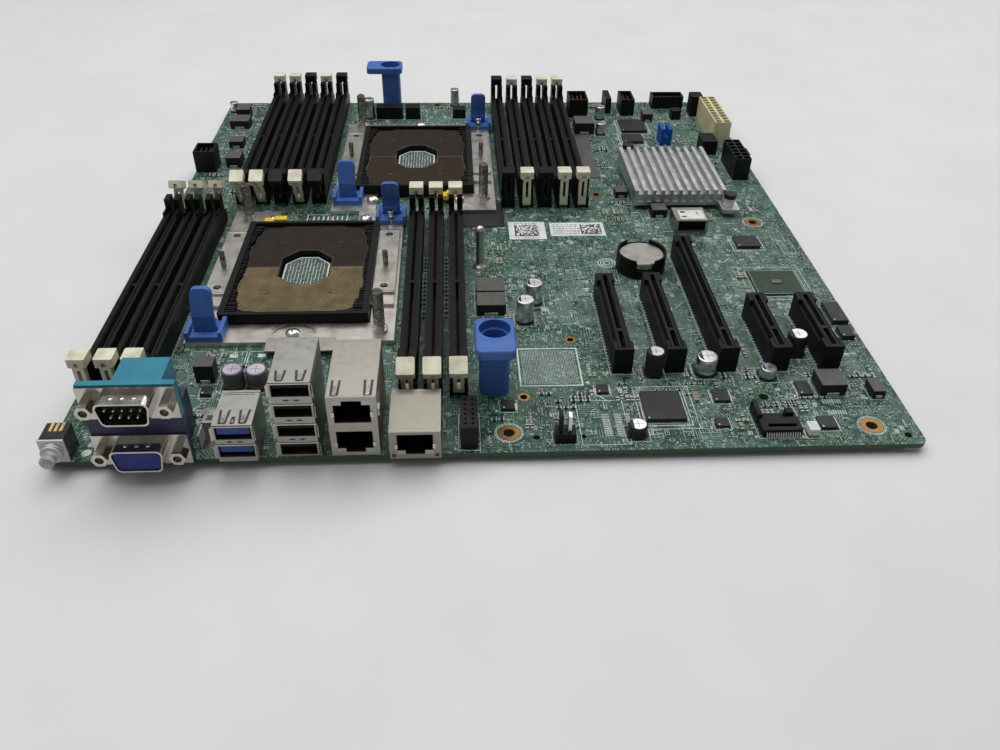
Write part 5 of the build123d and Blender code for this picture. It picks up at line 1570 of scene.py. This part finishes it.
def plate_details():
    """The polished wire arch round each single screw and the crossbars over the leaf springs' ends."""
    shape = Shape("socket_wires", CHROME)
    for box in sorted(solids("cpu_sockets"), key=lambda item: item[2]):
        x, y = (box[0] + box[1]) / 2 + 1.0, (box[2] + box[3]) / 2
        is_front = y < 150
        side = -1 if is_front else 1
        arch = [(-8.6, 46.4), (-7.2, 43.6), (-4.2, 42.0), (0.0, 41.5), (4.2, 42.0), (7.2, 43.6), (8.6, 46.4)]
        points = [(x + along, y + side * out) for along, out in arch]
        shape.ribbon(points if is_front else points[::-1], 0.7, 3.4)
        for hand in (-1, 1):
            spring_x = (box[0] + box[1]) / 2 + hand * 35.4
            for along in (-19.6, 34.3):
                shape.block(spring_x - 4.7, spring_x + 4.7, y + along - 1.1, y + along - 0.1, 2.25, 4.75)
    shape.done("bright_steel", bevel=0.12)


def clip_studs():
    """A short silver-capped stud in front of each back clip."""
    shape = Shape("clip_studs", CHROME)
    profile = [(1.9, 0.0), (1.9, 1.6), (1.4, 2.0), (1.4, 4.8), (1.8, 5.0), (1.8, 6.0), (1.2, 6.5)]
    for box in sorted(solids("clip_bases"), key=lambda item: item[2]):
        if box[0] > 95:
            x, y = (box[0] + box[1]) / 2, box[2] + 1.6
            shape.turned(x, y, 2.3, profile, 0, 20)
    shape.done("bright_steel")


# ---- stage, light and camera ----
CAMERA_AT = (140.0, -220.7, 204.2)
CAMERA_PITCH = 37.638
CAMERA_YAW = 3.450
CAMERA_ROLL = 1.131
CAMERA_LENS = 31.43
TABLE_HALF = 3.0
WORLD_STRENGTH = 0.21
OVERHEAD_WATTS = 18.0
WINDOW_WATTS = 2.7


def camera():
    """The camera, from its place over the board's front edge and its three angles."""
    pitch, yaw, roll = (math.radians(angle) for angle in (CAMERA_PITCH, CAMERA_YAW, CAMERA_ROLL))
    flat = Vector((math.cos(yaw), -math.sin(yaw), 0))
    ahead = Vector((math.sin(yaw), math.cos(yaw), 0))
    forward = ahead * math.cos(pitch) - Vector((0, 0, math.sin(pitch)))
    upward = ahead * math.sin(pitch) + Vector((0, 0, math.cos(pitch)))
    right = flat * math.cos(roll) + upward * math.sin(roll)
    up = upward * math.cos(roll) - flat * math.sin(roll)
    data = bpy.data.cameras.new("camera")
    data.lens = CAMERA_LENS
    data.sensor_width = 36.0
    data.clip_start = 0.01
    holder = bpy.data.objects.new("camera", data)
    bpy.context.scene.collection.objects.link(holder)
    turn = Matrix((right, up, -forward)).transposed().to_4x4()
    holder.matrix_world = Matrix.Translation(place(*CAMERA_AT)) @ turn
    bpy.context.scene.camera = holder


def area_light(name, at, aim, size, watts, tint):
    """A rectangular lamp that faces a point."""
    data = bpy.data.lights.new(name, "AREA")
    data.shape = "RECTANGLE"
    data.size, data.size_y = size
    data.energy = watts
    data.color = tint
    holder = bpy.data.objects.new(name, data)
    bpy.context.scene.collection.objects.link(holder)
    holder.location = at
    holder.rotation_euler = (aim - at).to_track_quat("-Z", "Y").to_euler()


def stage():
    """A pale table, a soft white surround and large soft lamps."""
    centre = place(BOARD_X / 2, BOARD_Y / 2)
    half = TABLE_HALF
    mesh = bpy.data.meshes.new("floor")
    corners = [(x, y, cad_low.z) for x, y in ((-half, -half), (half, -half), (half, half), (-half, half))]
    mesh.from_pydata(corners, [], [(0, 1, 2, 3)])
    g = Graph("pale_table")
    colour = g.mix(g.drifting(60.0), (0.70, 0.695, 0.70), (0.74, 0.735, 0.74))
    mesh.materials.append(g.done(colour, 0.55, 0.0, g.bump(g.noise(1.2), 0.01)))
    floor = bpy.data.objects.new("floor", mesh)
    bpy.context.scene.collection.objects.link(floor)
    world = bpy.data.worlds.new("soft_white")
    world.use_nodes = True
    background = world.node_tree.nodes["Background"]
    background.inputs[0].default_value = (0.97, 0.98, 1.0, 1.0)
    background.inputs[1].default_value = WORLD_STRENGTH
    bpy.context.scene.world = world
    bpy.context.scene.view_settings.view_transform = "Standard"
    overhead = centre + Vector((-0.15, 0.25, 1.2))
    window = centre + Vector((0.9, 0.9, 0.8))
    area_light("overhead", overhead, centre, (1.8, 1.4), OVERHEAD_WATTS, (1.0, 0.995, 0.985))
    area_light("window", window, centre, (0.7, 0.7), WINDOW_WATTS, (0.97, 0.98, 1.0))


# ---- put it together ----
camera()
stage()
paint_nodes()
mounting_rings()
tracks()
printed_marks()
pad_rows()
solder_tails()
underside_joints()
surface_parts()
chips()
inductors()
capacitors()
memory_contacts()
memory_side_marks()
processor_sockets()
slot_contacts()
d_connectors()
usb_ports()
network_ports()
inner_usb()
identification_button()
board_bracket()
connector_details()
labels()
flat_areas()
tall_pin()
clip_studs()
crystal()
plate_details()

bpy.context.view_layer.update()
